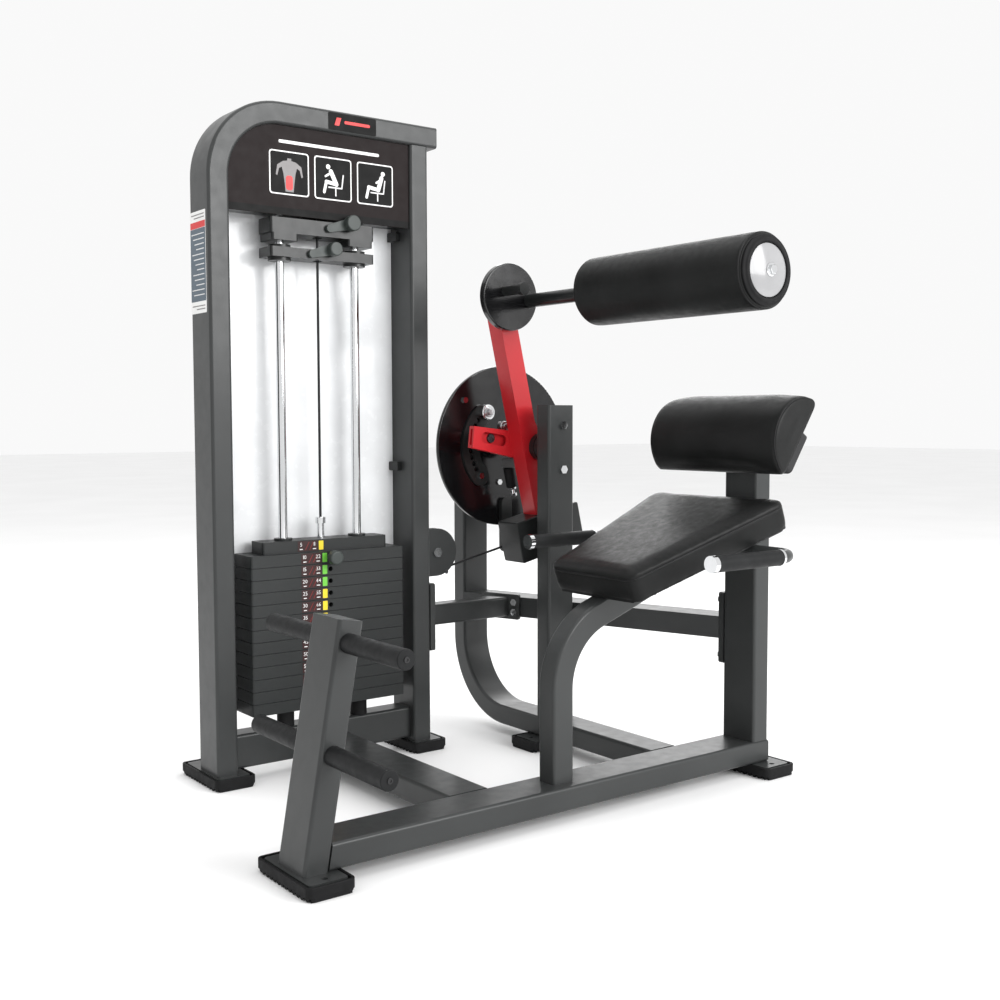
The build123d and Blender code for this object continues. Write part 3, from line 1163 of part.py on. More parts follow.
with BuildPart() as roller_end_cap:
    with BuildSketch(Plane(origin=(ROLLER_X, 0, ROLLER_Z), x_dir=(0, 1, 0), z_dir=(1, 0, 0))):
        with BuildLine():
            Polyline((ROLLER_Y0, 0), (ROLLER_Y0, ROLLER_CAP_R), (ROLLER_Y0 - 4, ROLLER_CAP_R))
            ThreePointArc((ROLLER_Y0 - 4, ROLLER_CAP_R), (ROLLER_Y0 - 9.5, 30), (ROLLER_Y0 - 12, 0))
            Line((ROLLER_Y0 - 12, 0), (ROLLER_Y0, 0))
        make_face()
    revolve(axis=Axis((ROLLER_X, 0, ROLLER_Z), (0, 1, 0)))
    with BuildSketch(facing_y(ROLLER_Y0)):
        with Locations((ROLLER_X, ROLLER_Z)):
            Circle(ROLLER_BAR_R + 0.4)
    extrude(amount=4.4, mode=Mode.SUBTRACT)
    with BuildSketch(facing_y(ROLLER_Y0 - 11)):
        with Locations((ROLLER_X, ROLLER_Z)):
            RegularPolygon(9, 6)
    extrude(amount=8)
save(roller_end_cap.part, "roller_end_cap")

# ================================================================ user side
SEAT_PLANE = Plane(
    origin=(SEAT_MID_X, SEAT_Y, SEAT_MID_Z),
    x_dir=(cos(radians(SEAT_TILT)), 0, sin(radians(SEAT_TILT))),
    z_dir=(-sin(radians(SEAT_TILT)), 0, cos(radians(SEAT_TILT))),
)


def seat_outline(inset):
    """Corners of the seat's plan: narrow at the front, wide at the rear."""
    x = SEAT_LONG / 2 - inset
    front, rear = SEAT_FRONT_W / 2 - inset, SEAT_REAR_W / 2 - inset
    return [(-x, -front), (x, -rear), (x, rear), (-x, front)]


with BuildPart() as seat_pad:
    with BuildSketch(SEAT_PLANE.offset(-CUSHION_T)):
        with BuildLine():
            Polyline(*seat_outline(0), close=True)
        make_face()
        fillet(vertices(), 26)
    extrude(amount=CUSHION_T)
    fillet(seat_pad.faces().filter_by(Axis((0, 0, 0), SEAT_PLANE.z_dir)).edges(), 9)
    # the cover wraps down round the board
    with BuildSketch(SEAT_PLANE.offset(-CUSHION_T - SEAT_BOARD_T)):
        with BuildLine():
            Polyline(*seat_outline(2), close=True)
        make_face()
        fillet(vertices(), 24)
    extrude(amount=SEAT_BOARD_T + 10)
    with BuildSketch(SEAT_PLANE.offset(-CUSHION_T - SEAT_BOARD_T)):
        with BuildLine():
            Polyline(*seat_outline(SEAT_WRAP), close=True)
        make_face()
        fillet(vertices(), 16)
    extrude(amount=SEAT_BOARD_T, mode=Mode.SUBTRACT)
save(seat_pad.part, "seat_pad")

with BuildPart() as seat_board:
    with BuildSketch(SEAT_PLANE.offset(-CUSHION_T - SEAT_BOARD_T)):
        with BuildLine():
            Polyline(*seat_outline(SEAT_WRAP), close=True)
        make_face()
        fillet(vertices(), 16)
    extrude(amount=SEAT_BOARD_T)
save(seat_board.part, "seat_board")


def back_plane(y):
    """Sketch plane at y facing -Y: local x up the flat of the back pad, local y out towards the user."""
    return Plane(origin=(BACK_LOW_X, y, BACK_LOW_Z), x_dir=BACK_PLANE.x_dir, z_dir=(0, -1, 0))


with BuildPart() as back_pad:
    with BuildSketch(back_plane(SEAT_Y + BACK_WIDE / 2)):
        with BuildLine():
            ThreePointArc((0, 0), (BACK_LONG / 2, BACK_DEEP), (BACK_LONG, 0))
            Line((BACK_LONG, 0), (0, 0))
        make_face()
        fillet(vertices(), 14)
    extrude(amount=BACK_WIDE)
    fillet(back_pad.faces().filter_by(Axis.Y).edges(), 9)
save(back_pad.part, "back_pad")

with BuildPart() as back_board:
    with BuildSketch(BACK_PLANE.offset(-BACK_BOARD_T)):
        with Locations((BACK_BOARD_UP + BACK_BOARD_LONG / 2, 0)):
            RectangleRounded(BACK_BOARD_LONG, BACK_BOARD_WIDE, 10)
    extrude(amount=BACK_BOARD_T)
save(back_board.part, "back_board")

HANDLE_BEND = 52.0
CAP_T = 3.0
with BuildPart() as handle_bar:
    with BuildLine(Plane.XY.offset(HANDLE_Z)) as handle_path:
        FilletPolyline(
            (HANDLE_FRONT_X + CAP_T, SEAT_Y - HANDLE_HALF),
            (HANDLE_REAR_X, SEAT_Y - HANDLE_HALF),
            (HANDLE_REAR_X, SEAT_Y + HANDLE_HALF),
            (HANDLE_FRONT_X + CAP_T, SEAT_Y + HANDLE_HALF),
            radius=HANDLE_BEND,
        )
    with BuildSketch(facing_x(HANDLE_FRONT_X + CAP_T)):
        with Locations((SEAT_Y - HANDLE_HALF, HANDLE_Z)):
            Circle(HANDLE_TUBE_R)
            Circle(HANDLE_TUBE_R - 2.5, mode=Mode.SUBTRACT)
    sweep(path=handle_path.wires()[0])
save(handle_bar.part, "handle_bar")

GRIP_SPOTS = [(SEAT_Y - HANDLE_HALF, HANDLE_Z), (SEAT_Y + HANDLE_HALF, HANDLE_Z)]
GRIP_X0, GRIP_X1 = 157.0, 344.0
with BuildPart() as hand_grips:
    with BuildSketch(facing_x(GRIP_X0)):
        with Locations(*GRIP_SPOTS):
            Circle(GRIP_R)
            Circle(HANDLE_TUBE_R, mode=Mode.SUBTRACT)
    extrude(amount=GRIP_X1 - GRIP_X0)
save(hand_grips.part, "hand_grips")

with BuildPart() as grip_caps:
    with BuildSketch(facing_x(HANDLE_FRONT_X)):
        with Locations(*GRIP_SPOTS):
            Circle(GRIP_R + 0.5)
    extrude(amount=CAP_T)
    with BuildSketch(facing_x(HANDLE_FRONT_X + CAP_T)):
        with Locations(*GRIP_SPOTS):
            Circle(GRIP_R + 0.5)
            Circle(HANDLE_TUBE_R, mode=Mode.SUBTRACT)
    extrude(amount=GRIP_X0 - HANDLE_FRONT_X - CAP_T)
    with BuildSketch(facing_x(GRIP_X1)):
        with Locations(*GRIP_SPOTS):
            Circle(GRIP_R + 0.5)
            Circle(HANDLE_TUBE_R, mode=Mode.SUBTRACT)
    extrude(amount=6)
save(grip_caps.part, "grip_caps")

# ================================================================ fasteners
NUT_H = 8.0


def bolt_planes():
    """Where each visible fixed bolt head sits: its plane, and how far its shank runs back."""
    found = []
    for x, z in REAR_PLATE_BOLTS:
        found.append((Plane(origin=(x, REAR_BRACE_Y0, z), z_dir=(0, 1, 0)), 2 * PLATE_T))
    for y, z in TOWER_PLATE_BOLTS:
        found.append((Plane(origin=(TOWER_BRACE_X0, y, z), z_dir=(1, 0, 0)), 2 * PLATE_T))
    for du, dv in SIDE_BOLTS:
        spot = side_plane.from_local_coords((du, dv, SIDE_PLATE_T))
        found.append((Plane(origin=spot, z_dir=side_plane.z_dir), SIDE_PLATE_T))
    return found


AXLE_HALF = BRACKET_GAP / 2 + BRACKET_T
with BuildPart() as frame_bolts:
    # pulley axles, each with a head in front and a nut behind
    for x, y, z in (
        (*LEFT_PULLEY, TOP_PULLEY_Z),
        (*RIGHT_PULLEY, TOP_PULLEY_Z),
        (LOW_PULLEY_X, CABLE_Y, LOW_PULLEY_Z),
    ):
        with BuildSketch(facing_y(y + AXLE_HALF)):
            with Locations((x, z)):
                Circle(AXLE_R)
        extrude(amount=2 * AXLE_HALF)
        with BuildSketch(facing_y(y - AXLE_HALF)):
            with Locations((x, z)):
                RegularPolygon(13, 6)
        extrude(amount=7)
        with BuildSketch(facing_y(y + AXLE_HALF)):
            with Locations((x, z)):
                RegularPolygon(13, 6)
        extrude(amount=-8)
    for plane, reach in bolt_planes():
        with BuildSketch(plane):
            RegularPolygon(BOLT_HEAD_R, 6)
        extrude(amount=BOLT_HEAD_H)
        with BuildSketch(plane):
            Circle(BOLT_R)
        extrude(amount=-reach)
    # through bolts of the two pivot bearings
    for x, z in BEARING_BOLTS:
        for head_y, nut_y, away in (
            (POST_Y - FRAME_T / 2, FRONT_BEARING_Y + BEARING_T, 1),
            (REAR_UPRIGHT_Y + FRAME_T / 2, REAR_BEARING_Y - BEARING_T, -1),
        ):
            with BuildSketch(facing_y(head_y)):
                with Locations((x, z)):
                    RegularPolygon(11, 6)
            extrude(amount=away * (BOLT_HEAD_H if away > 0 else 4))
            with BuildSketch(facing_y(nut_y)):
                with Locations((x, z)):
                    RegularPolygon(10, 6)
            extrude(amount=-away * NUT_H)
            with BuildSketch(facing_y(max(head_y, nut_y))):
                with Locations((x, z)):
                    Circle(BEARING_BOLT_R)
            extrude(amount=abs(nut_y - head_y))
save(frame_bolts.part, "frame_bolts")
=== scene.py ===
import bpy
import bmesh
import math
from mathutils import Matrix, Vector


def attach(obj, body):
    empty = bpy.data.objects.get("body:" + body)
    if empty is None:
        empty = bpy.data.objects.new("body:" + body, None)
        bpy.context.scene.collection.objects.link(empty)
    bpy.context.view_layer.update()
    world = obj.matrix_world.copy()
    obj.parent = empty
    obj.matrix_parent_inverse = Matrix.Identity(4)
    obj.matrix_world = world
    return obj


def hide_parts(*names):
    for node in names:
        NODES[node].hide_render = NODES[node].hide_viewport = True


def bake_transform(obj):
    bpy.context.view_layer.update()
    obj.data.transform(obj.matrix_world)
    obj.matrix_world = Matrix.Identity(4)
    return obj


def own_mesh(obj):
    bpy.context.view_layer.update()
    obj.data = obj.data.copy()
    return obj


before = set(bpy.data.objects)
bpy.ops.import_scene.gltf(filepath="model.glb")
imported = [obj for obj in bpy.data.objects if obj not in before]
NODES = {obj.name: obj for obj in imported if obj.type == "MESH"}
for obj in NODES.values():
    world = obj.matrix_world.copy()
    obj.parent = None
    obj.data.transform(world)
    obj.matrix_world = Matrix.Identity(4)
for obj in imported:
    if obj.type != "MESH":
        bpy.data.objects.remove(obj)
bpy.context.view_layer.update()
rad = math.radians


# ------------------------------------------------------------------ materials
class Shader:
    """A small builder for procedural materials in object coordinates, metres."""

    def __init__(self, name):
        self.mat = bpy.data.materials.new(name)
        self.mat.use_nodes = True
        self.nt = self.mat.node_tree
        self.nt.nodes.clear()
        self.out = self.nt.nodes.new("ShaderNodeOutputMaterial")
        self.bsdf = self.nt.nodes.new("ShaderNodeBsdfPrincipled")
        self.nt.links.new(self.bsdf.outputs[0], self.out.inputs["Surface"])
        self.coord = self.nt.nodes.new("ShaderNodeTexCoord").outputs["Object"]

    def set(self, **values):
        for key, value in values.items():
            socket = self.bsdf.inputs[key.replace("_", " ")]
            socket.default_value = (*value, 1.0) if isinstance(value, tuple) else value
        return self

    def link(self, a, b):
        self.nt.links.new(a, b)

    def mapping(self, scale):
        node = self.nt.nodes.new("ShaderNodeMapping")
        node.inputs["Scale"].default_value = scale
        self.link(self.coord, node.inputs["Vector"])
        return node.outputs[0]

    def noise(self, scale, detail=3.0, vector=None, rough=0.5):
        node = self.nt.nodes.new("ShaderNodeTexNoise")
        node.inputs["Scale"].default_value = scale
        node.inputs["Detail"].default_value = detail
        node.inputs["Roughness"].default_value = rough
        self.link(vector or self.coord, node.inputs["Vector"])
        return node.outputs["Fac"]

    def voronoi(self, scale, feature="DISTANCE_TO_EDGE", vector=None):
        node = self.nt.nodes.new("ShaderNodeTexVoronoi")
        node.feature = feature
        node.inputs["Scale"].default_value = scale
        self.link(vector or self.coord, node.inputs["Vector"])
        return node.outputs["Distance"]

    def ramp(self, fac, stops):
        node = self.nt.nodes.new("ShaderNodeValToRGB")
        elements = node.color_ramp.elements
        while len(elements) < len(stops):
            elements.new(0.5)
        for element, (place, value) in zip(elements, stops):
            element.position = place
            element.color = (*value, 1.0) if isinstance(value, tuple) else (value, value, value, 1.0)
        self.link(fac, node.inputs["Fac"])
        return node.outputs["Color"]

    def math(self, op, a, b):
        node = self.nt.nodes.new("ShaderNodeMath")
        node.operation = op
        for socket, value in zip(node.inputs, (a, b)):
            if isinstance(value, (int, float)):
                socket.default_value = value
            else:
                self.link(value, socket)
        return node.outputs[0]

    def bump(self, height, strength, distance):
        node = self.nt.nodes.new("ShaderNodeBump")
        node.inputs["Strength"].default_value = strength
        node.inputs["Distance"].default_value = distance
        self.link(height, node.inputs["Height"])
        if self.bsdf.inputs["Normal"].is_linked:
            self.link(self.bsdf.inputs["Normal"].links[0].from_socket, node.inputs["Normal"])
        self.link(node.outputs[0], self.bsdf.inputs["Normal"])
        return self

    def colour(self, fac, stops):
        self.link(self.ramp(fac, stops), self.bsdf.inputs["Base Color"])
        return self

    def roughness(self, fac, stops):
        self.link(self.ramp(fac, stops), self.bsdf.inputs["Roughness"])
        return self


def shade(c, k):
    return tuple(min(1.0, v * k) for v in c)


def painted(name, colour, rough=0.33, coat=0.35, peel=0.10, metallic=0.0):
    """Powder coat: orange peel, faint mottling and fine dust in the roughness."""
    s = Shader(name).set(Metallic=metallic, Specular_IOR_Level=0.30, Coat_Weight=coat, Coat_Roughness=0.16)
    s.colour(s.noise(6.0, 5.0), [(0.3, shade(colour, 0.88)), (0.7, shade(colour, 1.1))])
    s.roughness(s.noise(38.0, 4.0), [(0.25, rough - 0.05), (0.75, rough + 0.07)])
    s.bump(s.noise(520.0, 2.0), peel, 0.0006)
    return s.mat


def chrome(name, colour=(0.78, 0.79, 0.80), rough=0.07):
    s = Shader(name).set(Metallic=1.0)
    s.colour(s.noise(14.0, 3.0), [(0.3, shade(colour, 0.93)), (0.7, colour)])
    s.roughness(s.noise(60.0, 4.0, s.mapping((1, 1, 0.08))), [(0.3, rough), (0.8, rough + 0.07)])
    return s.mat


def brushed(name, colour, rough=0.3):
    s = Shader(name).set(Metallic=1.0)
    s.colour(s.noise(30.0, 4.0), [(0.3, shade(colour, 0.8)), (0.7, shade(colour, 1.1))])
    s.roughness(s.noise(160.0, 4.0), [(0.3, rough - 0.08), (0.75, rough + 0.12)])
    s.bump(s.noise(700.0, 2.0), 0.12, 0.0003)
    return s.mat


def vinyl(name, colour=(0.0085, 0.0088, 0.0088), rough=0.38):
    """Upholstery vinyl: pebbled grain in cells of about 1.5 mm, over slow wrinkles."""
    s = Shader(name).set(Specular_IOR_Level=0.13, Coat_Weight=0.02, Coat_Roughness=0.25)
    s.colour(s.noise(9.0, 5.0), [(0.3, shade(colour, 0.75)), (0.75, shade(colour, 1.5))])
    s.roughness(s.noise(70.0, 4.0), [(0.3, rough - 0.06), (0.75, rough + 0.1)])
    s.bump(s.noise(16.0, 3.0), 0.20, 0.0030)
    s.bump(s.ramp(s.voronoi(620.0), [(0.0, 0.0), (0.12, 1.0)]), 0.20, 0.0004)
    return s.mat


def rubber(name, colour, rough=0.62, grain=900.0, strength=0.25):
    s = Shader(name).set(Specular_IOR_Level=0.14)
    s.colour(s.noise(25.0, 4.0), [(0.3, shade(colour, 0.75)), (0.75, shade(colour, 1.3))])
    s.roughness(s.noise(80.0, 3.0), [(0.3, rough - 0.08), (0.75, rough + 0.08)])
    s.bump(s.noise(grain, 2.0), strength, 0.0005)
    return s.mat


def plastic(name, colour, rough=0.3, grain=1200.0, strength=0.06, coat=0.0, shine=0.35):
    s = Shader(name).set(Specular_IOR_Level=shine, Coat_Weight=coat, Coat_Roughness=0.08)
    s.colour(s.noise(12.0, 3.0), [(0.3, shade(colour, 0.94)), (0.7, shade(colour, 1.05))])
    s.roughness(s.noise(50.0, 4.0), [(0.3, max(0.04, rough - 0.04)), (0.75, rough + 0.05)])
    s.bump(s.noise(grain, 2.0), strength, 0.0003)
    return s.mat


M = {
    "frame": painted("mat_frame", (0.032, 0.034, 0.034), rough=0.34, coat=0.08),
    "disk": painted("mat_disk", (0.0035, 0.0035, 0.004), rough=0.15, coat=0.5, peel=0.02),
    "red": painted("mat_red", (0.50, 0.012, 0.018), rough=0.33, coat=0.25),
    "plates": painted("mat_plates", (0.016, 0.018, 0.018), rough=0.44, coat=0.05, peel=0.3),
    "charcoal": painted("mat_charcoal", (0.011, 0.012, 0.012), rough=0.34, coat=0.12, peel=0.2),
    "chrome": chrome("mat_chrome"),
    "steel": brushed("mat_steel", (0.50, 0.51, 0.52)),
    "dark_steel": brushed("mat_dark_steel", (0.10, 0.10, 0.105), 0.32),
    "vinyl": vinyl("mat_vinyl"),
    "roller_vinyl": vinyl("mat_roller_vinyl", (0.0080, 0.0084, 0.0083), 0.42),
    "vinyl_plain": rubber("mat_piping", (0.013, 0.013, 0.0135), 0.34, 900.0, 0.15),
    "board": plastic("mat_board", (0.012, 0.012, 0.013), 0.45, 500.0, 0.2),
    "rubber": rubber("mat_rubber", (0.009, 0.009, 0.0095)),
    "grip": rubber("mat_grip", (0.011, 0.0115, 0.012), 0.50, 700.0, 0.35),
    "shield": plastic("mat_shield", (0.74, 0.75, 0.76), 0.25, 300.0, 0.02, 0.3),
    "placard": plastic("mat_placard", (0.010, 0.006, 0.006), 0.45, 600.0, 0.03, 0.0, 0.10),
    "pulley": plastic("mat_pulley", (0.018, 0.018, 0.018), 0.35),
    "cable": rubber("mat_cable", (0.020, 0.020, 0.021), 0.40, 500.0, 0.1),
    "cap_white": plastic("mat_cap_white", (0.28, 0.28, 0.285), 0.20, 300.0, 0.02, 0.4),
    "knob": plastic("mat_knob", (0.040, 0.048, 0.045), 0.42, 500.0, 0.15),
    "thread": plastic("mat_thread", (0.02, 0.02, 0.02), 0.6),
    "white": plastic("mat_white", (0.78, 0.78, 0.77), 0.4),
    "pale": plastic("mat_pale", (0.62, 0.62, 0.62), 0.35),
    "label_red": plastic("mat_label_red", (0.62, 0.02, 0.02), 0.35),
    "label_blue": plastic("mat_label_blue", (0.07, 0.10, 0.13), 0.35),
    "label_black": plastic("mat_label_black", (0.004, 0.004, 0.004), 0.45, 1200.0, 0.06, 0.0, 0.10),
    "plain_grey": painted("mat_plain_grey", (0.10, 0.10, 0.10), rough=0.4, coat=0.1),
    "label_grey": plastic("mat_label_grey", (0.20, 0.19, 0.19), 0.4),
    "label_stripe": plastic("mat_label_stripe", (0.20, 0.012, 0.012), 0.4),
    "label_maroon": plastic("mat_label_maroon", (0.030, 0.008, 0.008), 0.35),
    "green": plastic("mat_green", (0.16, 0.55, 0.06), 0.4),
    "yellow": plastic("mat_yellow", (0.80, 0.62, 0.03), 0.4),
}

USE = {
    "frame": "tower_bent_tube tower_right_upright tower_base_beam cross_beam foot_stand seat_base_tube "
             "rear_post seat_leg bent_rear_frame pivot_post rear_brace tower_brace pulley_brackets "
             "handle_bar foot_bars",
    "disk": "cam_disk guard_plate",
    "red": "swing_arm",
    "plates": "lower_weight_plates top_weight_plate head_plate",
    "charcoal": "add_on_weight_lower add_on_weight_upper rod_hanger counterweight arm_hub "
                "pivot_bearings cable_lug index_plate roller_bar shield_clips",
    "chrome": "guide_rods selector_rod grip_caps cam_bolts frame_bolts",
    "dark_steel": "pull_pin pivot_shaft",
    "vinyl": "seat_pad back_pad",
    "roller_vinyl": "chest_roller",
    "board": "seat_board back_board",
    "rubber": "rubber_feet rod_bumpers",
    "grip": "foot_grips hand_grips",
    "shield": "rear_shield",
    "placard": "placard",
    "pulley": "top_pulley_left top_pulley_right low_pulley",
    "cable": "stack_cable tower_cable lever_cable",
    "cap_white": "roller_end_cap",
    "knob": "selector_pin add_on_lever_lower add_on_lever_upper",
    "thread": "pin_spring",
}
for key, names in USE.items():
    for name in names.split():
        mesh = NODES[name].data
        mesh.materials.clear()
        mesh.materials.append(M[key])
for obj in NODES.values():
    for polygon in obj.data.polygons:
        polygon.use_smooth = True

# ------------------------------------------------------------------ mesh helpers
scene = bpy.context.scene
TOWARDS = (0, -1, 0)    # from the tower to the user's side


def mm(*values):
    return tuple(v / 1000 for v in values)


def new_piece(name, mesh, material, body, smooth=True):
    obj = bpy.data.objects.new(name, mesh)
    scene.collection.objects.link(obj)
    if material:
        mesh.materials.clear()
        mesh.materials.append(M[material])
    for polygon in mesh.polygons:
        polygon.use_smooth = smooth
    if body:
        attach(obj, body)
    return obj


def mesh_of(name, verts, faces):
    mesh = bpy.data.meshes.new(name)
    mesh.from_pydata([tuple(v) for v in verts], [], faces)
    bm = bmesh.new()
    bm.from_mesh(mesh)
    bmesh.ops.remove_doubles(bm, verts=bm.verts, dist=1e-6)
    bmesh.ops.recalc_face_normals(bm, faces=bm.faces)
    bm.to_mesh(mesh)
    bm.free()
    return mesh


def basis(axis):
    axis = Vector(axis).normalized()
    side = axis.cross(Vector((0, 0, 1)))
    side = side.normalized() if side.length > 1e-4 else Vector((1, 0, 0))
    return side, side.cross(axis).normalized(), axis


def lathe_data(profile, origin, axis, sides=48, phase=0.0):
    """Rings of (distance along the axis, radius), from one end to the other."""
    u, v, a = basis(axis)
    origin = Vector(origin)
    verts, faces = [], []
    for along, radius in profile:
        for k in range(sides):
            t = 2 * math.pi * k / sides + phase
            verts.append(origin + a * along + (u * math.cos(t) + v * math.sin(t)) * radius)
    for i in range(len(profile) - 1):
        for k in range(sides):
            n = (k + 1) % sides
            faces.append((i * sides + k, i * sides + n, (i + 1) * sides + n, (i + 1) * sides + k))
    faces.append(tuple(range(sides))[::-1])
    last = (len(profile) - 1) * sides
    faces.append(tuple(range(last, last + sides)))
    return verts, faces


def ring_data(profile, origin, axis, sides=64):
    """A closed profile turned round the axis, with no caps."""
    verts, faces = lathe_data(profile, origin, axis, sides)
    faces = faces[:-2]
    last = (len(profile) - 1) * sides
    for k in range(sides):
        n = (k + 1) % sides
        faces.append((last + k, last + n, n, k))
    return verts, faces


def tube_data(points, radius, sides=12, closed=False):
    points = [Vector(p) for p in points]
    count = len(points)
    verts, faces = [], []
    normal = None
    for i, point in enumerate(points):
        before = points[i - 1] if (i > 0 or closed) else point
        after = points[(i + 1) % count] if (i < count - 1 or closed) else point
        tangent = (after - before).normalized()
        if normal is None:
            normal = tangent.orthogonal().normalized()
        normal = (normal - tangent * normal.dot(tangent)).normalized()
        other = tangent.cross(normal)
        for k in range(sides):
            t = 2 * math.pi * k / sides
            verts.append(point + (normal * math.cos(t) + other * math.sin(t)) * radius)
    for i in range(count if closed else count - 1):
        j = (i + 1) % count
        shift = 0
        if closed and j == 0:
            gaps = [sum((verts[i * sides + k] - verts[(k + m) % sides]).length for k in range(sides))
                    for m in range(sides)]
            shift = gaps.index(min(gaps))
        for k in range(sides):
            n = (k + 1) % sides
            faces.append((i * sides + k, i * sides + n, j * sides + (n + shift) % sides,
                          j * sides + (k + shift) % sides))
    if not closed:
        faces.append(tuple(range(sides))[::-1])
        faces.append(tuple(range((count - 1) * sides, count * sides)))
    return verts, faces


def slab_data(outline, origin, right, up, thick):
    """A flat outline in (right, up) coordinates, standing thick proud of its origin plane."""
    right, up = Vector(right).normalized(), Vector(up).normalized()
    out = right.cross(up).normalized()
    origin = Vector(origin)
    count = len(outline)
    verts = [origin + right * a + up * b for a, b in outline]
    verts += [v + out * thick for v in verts]
    faces = [tuple(range(count))[::-1], tuple(range(count, 2 * count))]
    faces += [(k, (k + 1) % count, (k + 1) % count + count, k + count) for k in range(count)]
    return verts, faces


def rounded(x0, x1, z0, z1, r, steps=5):
    points = []
    corners = ((x1 - r, z1 - r, 0), (x0 + r, z1 - r, 90), (x0 + r, z0 + r, 180), (x1 - r, z0 + r, 270))
    for cx, cz, start in corners:
        for k in range(steps + 1):
            t = rad(start + 90 * k / steps)
            points.append((cx + r * math.cos(t), cz + r * math.sin(t)))
    return points


def joined(name, parts, material, body, smooth=False):
    verts, faces = [], []
    for v, f in parts:
        offset = len(verts)
        verts += [tuple(p) for p in v]
        faces += [tuple(i + offset for i in face) for face in f]
    mesh = bpy.data.meshes.new(name)
    mesh.from_pydata(verts, [], faces)
    bm = bmesh.new()
    bm.from_mesh(mesh)
    bmesh.ops.recalc_face_normals(bm, faces=bm.faces)
    bm.to_mesh(mesh)
    bm.free()
    return new_piece(name, mesh, material, body, smooth)


def capsule(ax, az, bx, bz, r, steps=8):
    """Outline of a fat line from a to b."""
    t0 = math.atan2(bz - az, bx - ax)
    points = [(bx + r * math.cos(t0 - math.pi / 2 + math.pi * k / steps),
               bz + r * math.sin(t0 - math.pi / 2 + math.pi * k / steps)) for k in range(steps + 1)]
    points += [(ax + r * math.cos(t0 + math.pi / 2 + math.pi * k / steps),
                az + r * math.sin(t0 + math.pi / 2 + math.pi * k / steps)) for k in range(steps + 1)]
    return points


def digit_shapes():
    """Flat meshes of the ten digits in the built-in font, 1 unit high: verts, faces and width of each."""
    carriers = []
    for digit in "0123456789":
        curve = bpy.data.curves.new("digit_" + digit, "FONT")
        curve.body, curve.size, curve.align_y, curve.resolution_u = digit, 1.0, "CENTER", 2
        carrier = bpy.data.objects.new("digit_" + digit, curve)
        scene.collection.objects.link(carrier)
        carriers.append(carrier)
    graph = bpy.context.evaluated_depsgraph_get()
    shapes = {}
    for carrier in carriers:
        mesh = bpy.data.meshes.new_from_object(carrier.evaluated_get(graph))
        low = min(v.co.x for v in mesh.vertices)
        high = max(v.co.x for v in mesh.vertices)
        shapes[carrier.name[-1]] = ([(v.co.x - low, v.co.y) for v in mesh.vertices],
                                    [tuple(p.vertices) for p in mesh.polygons], high - low)
        bpy.data.meshes.remove(mesh)
    for carrier in carriers:
        curve = carrier.data
        bpy.data.objects.remove(carrier)
        bpy.data.curves.remove(curve)
    return shapes


DIGITS = digit_shapes()


def number_data(text, size, origin, right, up):
    """A number as a flat mesh centred on origin."""
    gap = 0.09
    wide = sum(DIGITS[c][2] for c in text) + gap * (len(text) - 1)
    right, up, origin = Vector(right), Vector(up), Vector(origin)
    verts, faces, x = [], [], -wide / 2
    for c in text:
        points, polygons, width = DIGITS[c]
        faces += [tuple(i + len(verts) for i in p) for p in polygons]
        verts += [origin + right * (a + x) * size + up * b * size for a, b in points]
        x += width + gap
    return verts, faces


def applied(obj):
    """Replace the object's mesh by its modified mesh, and drop its modifiers."""
    bpy.context.view_layer.update()
    mesh = bpy.data.meshes.new_from_object(obj.evaluated_get(bpy.context.evaluated_depsgraph_get()))
    obj.modifiers.clear()
    obj.data = mesh
    return obj


